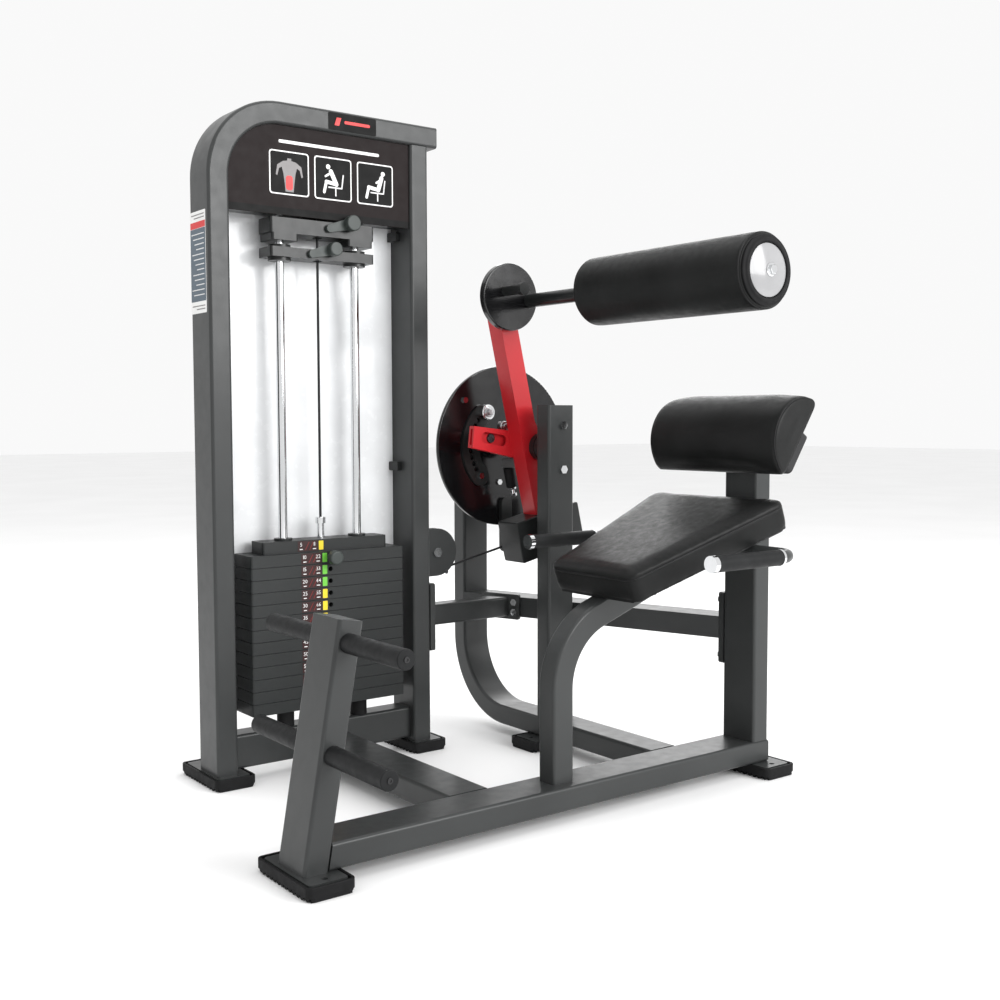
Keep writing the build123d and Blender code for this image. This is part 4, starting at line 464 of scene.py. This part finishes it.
# ------------------------------------------------------------------ cushions
def puffed(name, node, voxel, shrink, pressure, cap, held=None, flats=()):
    """The node's solid remeshed, blown up as cloth, capped, and pressed flat where it rests."""
    mesh = NODES[node].data.copy()
    obj = new_piece(name, mesh, None, None)
    remesh = obj.modifiers.new("remesh", "REMESH")
    remesh.mode, remesh.voxel_size = "VOXEL", voxel
    applied(obj)
    smooth = obj.modifiers.new("smooth", "SMOOTH")
    smooth.factor, smooth.iterations = 0.5, 3
    applied(obj)
    mesh = obj.data
    free = [not (held and held(v.co)) for v in mesh.vertices]
    normals = [v.normal.copy() for v in mesh.vertices]
    for v, n, ok in zip(mesh.vertices, normals, free):
        if ok:
            v.co -= n * shrink
    start = [v.co.copy() for v in mesh.vertices]
    cloth = obj.modifiers.new("cloth", "CLOTH")
    cloth.settings.use_pressure = True
    cloth.settings.uniform_pressure_force = pressure
    cloth.settings.effector_weights.gravity = 0.0
    cloth.settings.quality = 4
    cloth.settings.tension_stiffness = cloth.settings.compression_stiffness = 25.0
    cloth.point_cache.frame_start, cloth.point_cache.frame_end = 1, 20
    for step in range(1, 21):
        scene.frame_set(step)
    result = obj.evaluated_get(bpy.context.evaluated_depsgraph_get()).to_mesh()
    moved = [v.co.copy() for v in result.vertices]
    obj.modifiers.clear()
    scene.frame_set(1)
    # firm foam: keep how far the skin swelled, without its creases
    near = [[] for v in mesh.vertices]
    for e in mesh.edges:
        a, b = e.vertices
        near[a].append(b)
        near[b].append(a)
    swell = [max(0.0, min(cap, (b - a).dot(n))) if ok else 0.0
             for a, b, n, ok in zip(start, moved, normals, free)]
    for turn in range(14):
        swell = [0.4 * s + 0.6 * sum(swell[k] for k in ring) / len(ring) for s, ring in zip(swell, near)]
    for v, a, n, s, ok in zip(mesh.vertices, start, normals, swell, free):
        v.co = a + n * s if ok else a
    for point, normal in flats:
        point, normal = Vector(point), Vector(normal).normalized()
        for v in mesh.vertices:
            depth = (v.co - point).dot(normal)
            if depth > -0.0035:
                v.co -= normal * (depth + 0.0004 if depth > -0.0004 else 0.0)
    subdivide = obj.modifiers.new("subdivide", "SUBSURF")
    subdivide.levels = subdivide.render_levels = 1
    applied(obj)
    for point, normal in flats:
        point, normal = Vector(point), Vector(normal).normalized()
        for v in obj.data.vertices:
            depth = (v.co - point).dot(normal)
            if depth > -0.0002:
                v.co -= normal * (depth + 0.0002)
    for polygon in obj.data.polygons:
        polygon.use_smooth = True
    return obj


def section(obj, point, normal):
    """The longest loop in which a plane cuts the mesh, as ordered points."""
    bm = bmesh.new()
    bm.from_mesh(obj.data)
    cut = bmesh.ops.bisect_plane(bm, geom=bm.verts[:] + bm.edges[:] + bm.faces[:],
                                 plane_co=point, plane_no=normal, dist=1e-7)
    edges = [e for e in cut["geom_cut"] if isinstance(e, bmesh.types.BMEdge)]
    near = {}
    for e in edges:
        a, b = e.verts
        near.setdefault(a, []).append(b)
        near.setdefault(b, []).append(a)
    loops, seen = [], set()
    for first in near:
        if first in seen:
            continue
        loop, here = [first], first
        seen.add(first)
        while True:
            onward = [v for v in near[here] if v not in seen]
            if not onward:
                break
            here = onward[0]
            seen.add(here)
            loop.append(here)
        loops.append([v.co.copy() for v in loop])
    bm.free()
    longest = max(loops, key=lambda pts: sum((a - b).length for a, b in zip(pts, pts[1:])))
    return evened(longest, 0.004)


def evened(points, pitch):
    """A closed loop resampled at an even pitch and lightly smoothed."""
    ring = points + [points[0]]
    lengths = [(b - a).length for a, b in zip(ring, ring[1:])]
    count = max(24, int(sum(lengths) / pitch))
    result, target, walked, i = [], 0.0, 0.0, 0
    step = sum(lengths) / count
    for k in range(count):
        target = k * step
        while walked + lengths[i] < target:
            walked += lengths[i]
            i += 1
        result.append(ring[i].lerp(ring[i + 1], (target - walked) / max(lengths[i], 1e-9)))
    for turn in range(4):
        result = [(result[k - 1] + result[k] * 2 + result[(k + 1) % count]) / 4 for k in range(count)]
    return result


def seam(obj, point, normal, half=0.0045, depth=0.0012):
    """Draw the skin in along a plane, as a sewn seam does."""
    point, normal = Vector(point), Vector(normal).normalized()
    outward = [v.normal.copy() for v in obj.data.vertices]
    for v, out in zip(obj.data.vertices, outward):
        gap = abs((v.co - point).dot(normal))
        if gap < half:
            v.co -= out * depth * (1 - gap / half) ** 2


def welt(name, obj, point, normal, material, body, radius=0.0016, out=0.0004):
    """Sewn piping on the loop where the plane meets the cushion."""
    loop = section(obj, point, normal)
    centre = sum(loop, Vector()) / len(loop)
    loop = [p + (p - centre).normalized() * out for p in loop]
    verts, faces = tube_data(loop, radius, 10, True)
    return new_piece(name, mesh_of(name, verts, faces), material, body)


SEAT_LONG, SEAT_FRONT, SEAT_REAR, SEAT_DEEP = 0.418, 0.260, 0.404, 0.066
BOARD_MARGIN = 0.010                # how far inside the cushion's edge it rests on its board
HELD_DEPTH = 0.0535                 # below this the skin over the board doesn't swell
SEAT_SEAMS = (0.0125, 0.058)        # depths of the two seams under the seat's top
BACK_SEAMS = (-0.4475, -0.0745)     # places of the end seams along Y
CHEST_SEAMS = (-0.5285, -0.0385)
CHEST_CORE = 0.060                  # the roller's skin doesn't swell nearer its axis than this

slope = rad(20.0)
seat_up = Vector((-math.sin(slope), 0, math.cos(slope)))
seat_top = Vector(mm(275, -261, 577.5))


def inside_board(p):
    """Whether a point is over the seat's board, where the cushion rests on it."""
    along = (p - seat_top).dot(Vector((math.cos(slope), 0, math.sin(slope))))
    taper = (SEAT_REAR - SEAT_FRONT) / 2
    half = (SEAT_FRONT + SEAT_REAR) / 4 + taper * along / SEAT_LONG - BOARD_MARGIN
    return abs(along) < SEAT_LONG / 2 - BOARD_MARGIN and abs(p.y - seat_top.y) < half


seat_pad = puffed("seat_cushion", "seat_pad", 0.0055, 0.0020, 4.0, 0.010,
                  flats=[(seat_top - seat_up * SEAT_DEEP, -seat_up)],
                  held=lambda p: (p - seat_top).dot(seat_up) < -HELD_DEPTH and inside_board(p))
seat_pad.data.materials.append(M["vinyl"])
seam(seat_pad, seat_top - seat_up * SEAT_SEAMS[0], seat_up)
seam(seat_pad, seat_top - seat_up * SEAT_SEAMS[1], seat_up, 0.004, 0.0010)
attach(seat_pad, "frame")
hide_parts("seat_pad")
welt("seat_welt_top", seat_pad, seat_top - seat_up * SEAT_SEAMS[0], seat_up, "vinyl_plain", "frame")

tilt = rad(34.0)
back_face = Vector((math.cos(tilt), 0, -math.sin(tilt)))
back_low = Vector(mm(473.5, 0, 689.4))
back_pad = puffed("back_cushion", "back_pad", 0.0055, 0.0020, 4.0, 0.0070, flats=[(back_low, back_face)])
back_pad.data.materials.append(M["vinyl"])
for y in BACK_SEAMS:
    seam(back_pad, (0, y, 0), (0, 1, 0), 0.004, 0.0010)
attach(back_pad, "frame")
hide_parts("back_pad")
for k, y in enumerate(BACK_SEAMS):
    welt(f"back_welt_{k}", back_pad, (0, y, 0), (0, 1, 0), "vinyl_plain", "frame")

roller_axis = Vector(mm(308, 0, 1113))
chest = puffed("chest_cushion", "chest_roller", 0.006, 0.0022, 4.0, 0.0045,
               held=lambda p: math.hypot(p.x - roller_axis.x, p.z - roller_axis.z) < CHEST_CORE)
chest.data.materials.append(M["roller_vinyl"])
for y in CHEST_SEAMS:
    seam(chest, (0, y, 0), (0, 1, 0), 0.004, 0.0010)
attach(chest, "chest_roller")
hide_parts("chest_roller")
for k, y in enumerate(CHEST_SEAMS):
    welt(f"chest_welt_{k}", chest, (0, y, 0), (0, 1, 0), "vinyl_plain", "chest_roller")

# the stepped rim and the bolt of the roller's end
profile = [(0.5340, 0.0545), (0.5405, 0.0550), (0.5425, 0.0570), (0.5425, 0.0610), (0.5405, 0.0640),
           (0.5385, 0.0655), (0.5385, 0.0700), (0.5370, 0.0715), (0.5340, 0.0715)]
rim = ring_data(profile, roller_axis, TOWARDS)
joined("chest_end_rim", [rim], "rubber", "chest_roller", True)
washer = [(0.5470, 0.0125), (0.5485, 0.0135), (0.5485, 0.0135), (0.5500, 0.0112)]
nut = [(0.5490, 0.0098), (0.5550, 0.0098), (0.5563, 0.0088)]
joined("chest_end_bolt", [lathe_data(washer, roller_axis, TOWARDS, 40),
                          lathe_data(nut, roller_axis, TOWARDS, 6)],
       "chrome", "chest_roller")

# ------------------------------------------------------------------ cables and spring
def cable_path(points, count=60):
    points = [Vector(p) for p in points]
    spans = [(b - a).length for a, b in zip(points, points[1:])]
    total, result = sum(spans), []
    for k in range(count + 1):
        walk, i = total * k / count, 0
        while i < len(spans) - 1 and walk > spans[i]:
            walk -= spans[i]
            i += 1
        result.append(points[i].lerp(points[i + 1], min(1.0, walk / spans[i])))
    return result


CABLE_R = 0.003
lever_start, lever_end = mm(139.6, 381, 440.2), mm(345.4, 381, 487.0)
verts, faces = tube_data(cable_path([lever_start, lever_end]), CABLE_R, 14)
lever_cable = new_piece("lever_cable_skin", mesh_of("lever_cable_skin", verts, faces), "cable", None)
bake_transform(lever_cable)
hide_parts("lever_cable")

stack_foot, stack_top = mm(-199, 372, 592.5), mm(-199, 372, 1413)
verts, faces = tube_data(cable_path([stack_foot, stack_top]), CABLE_R, 14)
stack_cable = new_piece("stack_cable_skin", mesh_of("stack_cable_skin", verts, faces), "cable", "frame")
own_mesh(stack_cable)
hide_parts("stack_cable")

SPRING_TURNS, TURN_STEPS, SPRING_LONG, SPRING_R = 9, 20, 0.0468, 0.0082
spring_foot = Vector(mm(247.2, 308.2, 772.9))
helix = []
for k in range(SPRING_TURNS * TURN_STEPS + 1):
    t = 2 * math.pi * k / TURN_STEPS
    along = SPRING_LONG * k / (SPRING_TURNS * TURN_STEPS)
    helix.append(spring_foot + Vector((math.cos(t) * SPRING_R, along, math.sin(t) * SPRING_R)))
verts, faces = tube_data(helix, 0.0010, 8)
spring = new_piece("pin_spring_coil", mesh_of("pin_spring_coil", verts, faces), "steel", "arm")
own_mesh(spring)
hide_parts("pin_spring")

# ------------------------------------------------------------------ rubber feet
RIBS, RIB_PITCH, RIB_R = 13, 0.0146, 0.0058


def foot_parts(cx, cy, across=False):
    """One foot with a raised rim and a ribbed sole. Its long side runs along Y, or along X if across."""
    parts = []
    outer = rounded(-0.048, 0.048, -0.100, 0.100, 0.012, 5)
    inner = rounded(-0.0425, 0.0425, -0.0945, 0.0945, 0.008, 5)

    def spot(dx, dy, z):
        return (cx + dy, cy + dx, z) if across else (cx + dx, cy + dy, z)

    rings = [[spot(x * 0.985, y * 0.992, 0.0068) for x, y in outer], [spot(x, y, 0.0085) for x, y in outer],
             [spot(x, y, 0.0248) for x, y in outer], [spot(x * 0.985, y * 0.992, 0.0260) for x, y in outer],
             [spot(x, y, 0.0256) for x, y in inner], [spot(x, y, 0.0218) for x, y in inner]]
    count = len(outer)
    verts = [p for ring in rings for p in ring]
    faces = []
    for i in range(len(rings) - 1):
        for k in range(count):
            n = (k + 1) % count
            faces.append((i * count + k, i * count + n, (i + 1) * count + n, (i + 1) * count + k))
    faces.append(tuple(range(count)))
    faces.append(tuple(range(5 * count, 6 * count)))
    parts.append((verts, faces))
    sweep = [math.pi * k / 8 for k in range(9)]
    for r in range(RIBS):
        y = (r - (RIBS - 1) / 2) * RIB_PITCH
        half = 0.0464 if 0 < r < RIBS - 1 else 0.0440
        section_pts = [(y - 0.0064, 0.0072)]
        section_pts += [(y - RIB_R * math.cos(t), RIB_R - RIB_R * math.sin(t)) for t in sweep]
        section_pts += [(y + 0.0064, 0.0072)]
        m = len(section_pts)
        verts = [spot(-half, a, z) for a, z in section_pts] + [spot(half, a, z) for a, z in section_pts]
        faces = [(k, (k + 1) % m, (k + 1) % m + m, k + m) for k in range(m)]
        faces += [tuple(range(m))[::-1], tuple(range(m, 2 * m))]
        parts.append((verts, faces))
    strip = [(-0.040, 0.0930), (-0.040, 0.0968), (-0.034, 0.0985), (0.034, 0.0985), (0.040, 0.0968),
             (0.040, 0.0930)]
    for end in (-1, 1):
        verts = [spot(a, end * b, 0.0) for a, b in strip] + [spot(a, end * b, 0.0075) for a, b in strip]
        faces = [(k, (k + 1) % 6, (k + 1) % 6 + 6, k + 6) for k in range(6)]
        faces += [tuple(range(6)), tuple(range(6, 12))]
        parts.append((verts, faces))
    return parts


FEET = [(-582.5, -261, False), (582.5, -261, False), (-448, 412, False), (70, 412, False), (358, 190, True)]
feet = []
for x, y, across in FEET:
    feet += foot_parts(x / 1000, y / 1000, across)
shoes = joined("rubber_shoes", feet, "rubber", "frame")
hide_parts("rubber_feet")

# ------------------------------------------------------------------ printed panels and number strips
FRONT = ((1, 0, 0), (0, 0, 1))


def shape(outline, y, thick=0.0004):
    """A printed outline in millimetres, facing the user's side from y."""
    return slab_data([mm(a, b) for a, b in outline], (0, y / 1000, 0), *FRONT, thick)


def panel(x0, x1, z0, z1, r, y, thick=0.0004):
    return shape(rounded(x0, x1, z0, z1, r), y, thick)


PLACARD_Y, PRINT = 343, 0.4         # the placard's face, and how far each printed layer stands out
FIELD_Y = PLACARD_Y - PRINT
FIGURE_Y = FIELD_Y - PRINT
frames = [(-333, -234), (-220, -123), (-108, -10)]
joined("placard_frames", [panel(a, b, 1325, 1422, 7, PLACARD_Y) for a, b in frames] +
       [panel(-309, -48, 1439, 1446, 3.4, PLACARD_Y)], "white", "frame")
joined("placard_fields", [panel(a + 3, b - 3, 1328, 1419, 5, FIELD_Y) for a, b in frames],
       "label_black", "frame")


def figure(cx, cz, lean_back):
    """A plain seated pictogram: seat, back, torso, head, thigh, shin."""
    hip = (cx + 8, cz - 12)
    lean = 26 * math.cos(rad(70)) if lean_back else -30 * math.cos(rad(62))
    chest_at = (hip[0] + lean, hip[1] + 28)
    head = (chest_at[0] + (4 if lean_back else -7), chest_at[1] + 10)
    circle = [2 * math.pi * k / 20 for k in range(20)]
    ring = [(head[0] + 5.5 * math.cos(t), head[1] + 5.5 * math.sin(t)) for t in circle]
    limbs = [capsule(*hip, *chest_at, 5.2), ring, capsule(*hip, cx - 18, cz - 8, 4.2),
             capsule(cx - 18, cz - 8, cx - 24, cz - 32, 3.4),
             capsule(chest_at[0], chest_at[1] - 3, chest_at[0] - 14, chest_at[1] - 12, 2.4)]
    seat = [capsule(cx - 12, cz - 20, cx + 20, cz - 20, 1.6),
            capsule(cx + 22, cz - 20, cx + 26, cz + 10, 1.6),
            capsule(cx + 6, cz - 21, cx + 6, cz - 38, 1.6)]
    # each outline a hair in front of the last, so that none shares a face
    body = [shape(outline, FIGURE_Y - 0.05 * k) for k, outline in enumerate(limbs)]
    stand = [shape(outline, FIGURE_Y - PRINT - 0.05 * k) for k, outline in enumerate(seat)]
    return body, stand


bodies, stands = [], []
for cx, back in ((-171.5, False), (-59, True)):
    a, b = figure(cx, 1374, back)
    bodies += a
    stands += b
joined("placard_figures", bodies, "white", "frame")
joined("placard_seats", stands, "pale", "frame")
half_torso = [(10, -40), (12, -22), (15, 0), (19, 14), (26, 10), (30, -6), (34, -4), (30, 18), (16, 27),
              (5, 29), (5, 34)]
mirrored = [(-x, z) for x, z in reversed(half_torso)]
torso = [(-283.5 + x, 1372 + z) for x, z in half_torso + mirrored]
joined("placard_torso", [shape(torso, FIGURE_Y)], "label_grey", "frame")
joined("placard_belly", [panel(-292.5, -275.5, 1336, 1368, 6, FIGURE_Y - PRINT)], "label_red", "frame")
joined("placard_band", [panel(-433, 35, 1280.5, 1296, 2, PLACARD_Y)], "label_black", "frame")

joined("name_plate", [panel(-187, -61, 1483.5, 1522.5, 3, 334, 0.0012)], "label_black", "frame")
slash = [(-172, 1494), (-160, 1494), (-154, 1512), (-166, 1512)]
joined("name_plate_bar", [panel(-146, -78, 1500, 1507, 3, 332.8), shape(slash, 332.8)],
       "label_red", "frame")

SIDE = ((0, -1, 0), (0, 0, 1))


def side_panel(y0, y1, z0, z1, r, x, thick=0.0004):
    outline = [mm(a, b) for a, b in rounded(-y1, -y0, z0, z1, r)]
    return slab_data(outline, (x / 1000, 0, 0), *SIDE, thick)


def row(y0, y1, z, x):
    return side_panel(y0, y1, z - 1.1, z + 1.1, 1.0, x)


# the upright's outer face, above the flange at its foot
SIDE_X = min(v.co.x for v in NODES["tower_bent_tube"].data.vertices if v.co.z > 1.0) * 1000
joined("side_label", [side_panel(349, 431, 1054, 1276, 3, SIDE_X)], "white", "frame")
joined("side_label_body", [side_panel(351, 429, 1080, 1238, 2, SIDE_X - 0.4)], "label_blue", "frame")
joined("side_label_red", [side_panel(351, 429, 1239, 1253, 2, SIDE_X - 0.4)], "label_red", "frame")
lines = [row(357, 423 - (k * 37 % 29), 1226 - 11 * k, SIDE_X - 0.8) for k in range(13)]
joined("side_label_lines", lines, "pale", "frame")
grey_rows = [(424, 1070), (402, 1063), (424, 1268), (410, 1261)]
joined("side_label_grey", [row(356, y1, z, SIDE_X - 0.4) for y1, z in grey_rows], "label_grey", "frame")

rows = [("carriage", 529.0, 343.0), ("carriage", 501.5, 326.0)]
rows += [("frame", 152 + 28 * k + 13.5, 326.0) for k in range(11, -1, -1)]
strips, stripes, digits, cells = {}, {}, {}, {}
for k, (body, z, y) in enumerate(rows):
    strips.setdefault(body, []).append(panel(-274.5, -222.5, z - 12, z + 12, 1.2, y))
    for m in range(2):
        x = -256 + 11 * m
        stripe = [(x, z - 9), (x + 1.6, z - 9), (x + 11.6, z + 9), (x + 10, z + 9)]
        stripes.setdefault(body, []).append(shape(stripe, y - 0.4, 0.0002))
    for text, x in ((str(5 * (k + 1)), -266), (str(11 * (k + 1)), -231.5)):
        digits.setdefault(body, []).append(number_data(text, 0.0125, mm(x, y - 0.6, z + 3.5), *FRONT))
    digits.setdefault(body, []).append(panel(-270, -262, z - 8, z - 6, 0.8, y - 0.4))
    digits.setdefault(body, []).append(panel(-236, -227, z - 8, z - 6, 0.8, y - 0.4))
    tone = "yellow" if k in (0, 4, 5, 6, 7) else ("green" if k < 4 else "label_red")
    cells.setdefault((body, tone), []).append(panel(-220, -208, z - 10.5, z + 10.5, 1.5, y))
for body in ("carriage", "frame"):
    joined(f"number_strip_{body}", strips[body], "label_maroon", body)
    joined(f"number_stripes_{body}", stripes[body], "label_stripe", body)
    joined(f"numbers_{body}", digits[body], "white", body)
for (body, tone), parts in cells.items():
    joined(f"number_cell_{tone}_{body}", parts, tone, body)

# ------------------------------------------------------------------ small hardware
def socket_bolt(x, y, z, axis, r, height):
    steps = [(0.0, r), (height, r), (height * 1.12, r * 0.93), (height * 1.12, r * 0.52),
             (height * 0.35, r * 0.48)]
    return lathe_data(steps, mm(x, y, z), axis, 32)


grip_bolts = [socket_bolt(x, -499, z, (0, -1, 0), 0.0052, 0.0016) for x, z in ((-518.2, 427), (-551.9, 232))]
grip_bolts += [socket_bolt(x, -23, z, (0, 1, 0), 0.0052, 0.0016) for x, z in ((-518.2, 427), (-551.9, 232))]
joined("foot_grip_bolts", grip_bolts, "board", "frame")

# hardware beside the arm: a knob, and a block with a rubber buffer and nuts under it
def rod(a, b, r, sides=28, chamfer=0.0008):
    a, b = Vector(a), Vector(b)
    long = (b - a).length
    ends = [(0, r - chamfer), (chamfer, r), (long - chamfer, r), (long, r - chamfer)]
    return lathe_data(ends, a, b - a, sides)


joined("arm_knob", [rod(mm(301, 330, 803), mm(301, 311, 803), 0.0135, 36, 0.002),
                    rod(mm(301, 311, 803), mm(301, 306, 803), 0.0075, 6)], "steel", "arm")
joined("arm_block", [slab_data([mm(a, b) for a, b in rounded(312, 328, 697, 722, 3)],
                               (0, 0.340, 0), *FRONT, 0.052)], "plain_grey", "arm")
joined("arm_block_bolt", [rod(mm(320, 288, 712), mm(320, 283.5, 712), 0.0065, 6)], "chrome", "arm")
top_of_buffer, foot_of_buffer = Vector(mm(325, 330, 697)), Vector(mm(337, 330, 646))
joined("arm_buffer", [rod(top_of_buffer, foot_of_buffer, 0.0135, 36, 0.002)], "rubber", "arm", True)
down = (foot_of_buffer - top_of_buffer).normalized()
joined("arm_buffer_nuts", [rod(foot_of_buffer, foot_of_buffer + down * 0.006, 0.0105, 6),
                           rod(foot_of_buffer + down * 0.006, foot_of_buffer + down * 0.024, 0.0045, 24),
                           rod(foot_of_buffer + down * 0.016, foot_of_buffer + down * 0.024, 0.0095, 6)],
       "chrome", "arm")

# the washer and nut on the index plate's knob
PIVOT_X, PIVOT_Z, KNOB_R, KNOB_ANGLE = 0.354, 0.751, 0.109, rad(54)
knob = Vector((PIVOT_X - KNOB_R * math.cos(KNOB_ANGLE), 0, PIVOT_Z + KNOB_R * math.sin(KNOB_ANGLE)))
joined("index_knob_nut", [rod(knob + Vector((0, 0.3652, 0)), knob + Vector((0, 0.3612, 0)), 0.0125, 36),
                          rod(knob + Vector((0, 0.3612, 0)), knob + Vector((0, 0.3540, 0)), 0.0085, 6)],
       "steel", "cam")

# the cover of the low pulley: a small screw at its lower right
joined("cover_screws", [socket_bolt(158.3, 371, 435.2, TOWARDS, 0.0050, 0.0020)], "dark_steel", "frame")

# ------------------------------------------------------------------ camera, lights, floor
camera_data = bpy.data.cameras.new("camera")
camera = bpy.data.objects.new("camera", camera_data)
scene.collection.objects.link(camera)
bpy.context.scene.camera = camera
yaw, pitch, roll = rad(53.0), rad(-3.69), rad(-0.14)
look = Vector((math.cos(yaw) * math.cos(pitch), math.sin(yaw) * math.cos(pitch), math.sin(pitch)))
turn = look.to_track_quat("-Z", "Y").to_matrix() @ Matrix.Rotation(roll, 3, "Z")
camera.matrix_world = Matrix.Translation((-1.578, -2.160, 0.815)) @ turn.to_4x4()
camera_data.lens, camera_data.sensor_width, camera_data.sensor_fit = 43.78, 36.0, "HORIZONTAL"
camera_data.clip_end = 60.0


def area_light(name, place, target, size, power, colour=(1, 1, 1)):
    data = bpy.data.lights.new(name, "AREA")
    data.shape, data.size, data.size_y = "RECTANGLE", size[0], size[1]
    data.energy, data.color = power, colour
    obj = bpy.data.objects.new(name, data)
    scene.collection.objects.link(obj)
    obj.location = place
    obj.rotation_euler = (Vector(target) - Vector(place)).to_track_quat("-Z", "Y").to_euler()


area_light("key", (1.6, -4.6, 2.4), (0.0, 0.0, 0.7), (3.4, 2.6), 240)
area_light("fill", (-4.4, 0.6, 2.6), (0.0, 0.0, 0.7), (1.6, 2.4), 8)
area_light("top", (0.4, 0.4, 5.2), (0.0, 0.0, 0.0), (6.0, 6.0), 110)
area_light("rim", (3.6, 3.4, 2.6), (0.0, 0.0, 0.8), (2.4, 2.4), 50)

world = bpy.data.worlds.new("studio")
scene.world = world
world.use_nodes = True
background = world.node_tree.nodes["Background"]
background.inputs["Color"].default_value = (1.0, 1.0, 1.0, 1.0)
background.inputs["Strength"].default_value = 0.95
scene.view_settings.view_transform = "Standard"

floor_shader = Shader("mat_floor").set(Specular_IOR_Level=0.2)
floor_shader.colour(floor_shader.noise(1.2, 2.0), [(0.3, 0.90), (0.7, 0.93)])
floor_shader.roughness(floor_shader.noise(8.0, 2.0), [(0.3, 0.75), (0.7, 0.85)])
floor_mesh = bpy.data.meshes.new("floor")
floor_mesh.from_pydata([(-30, -30, 0), (30, -30, 0), (30, 30, 0), (-30, 30, 0)], [], [(0, 1, 2, 3)])
floor_mesh.materials.append(floor_shader.mat)
floor = bpy.data.objects.new("floor", floor_mesh)
scene.collection.objects.link(floor)
floor.location.z = -0.0005

scene.frame_set(1)
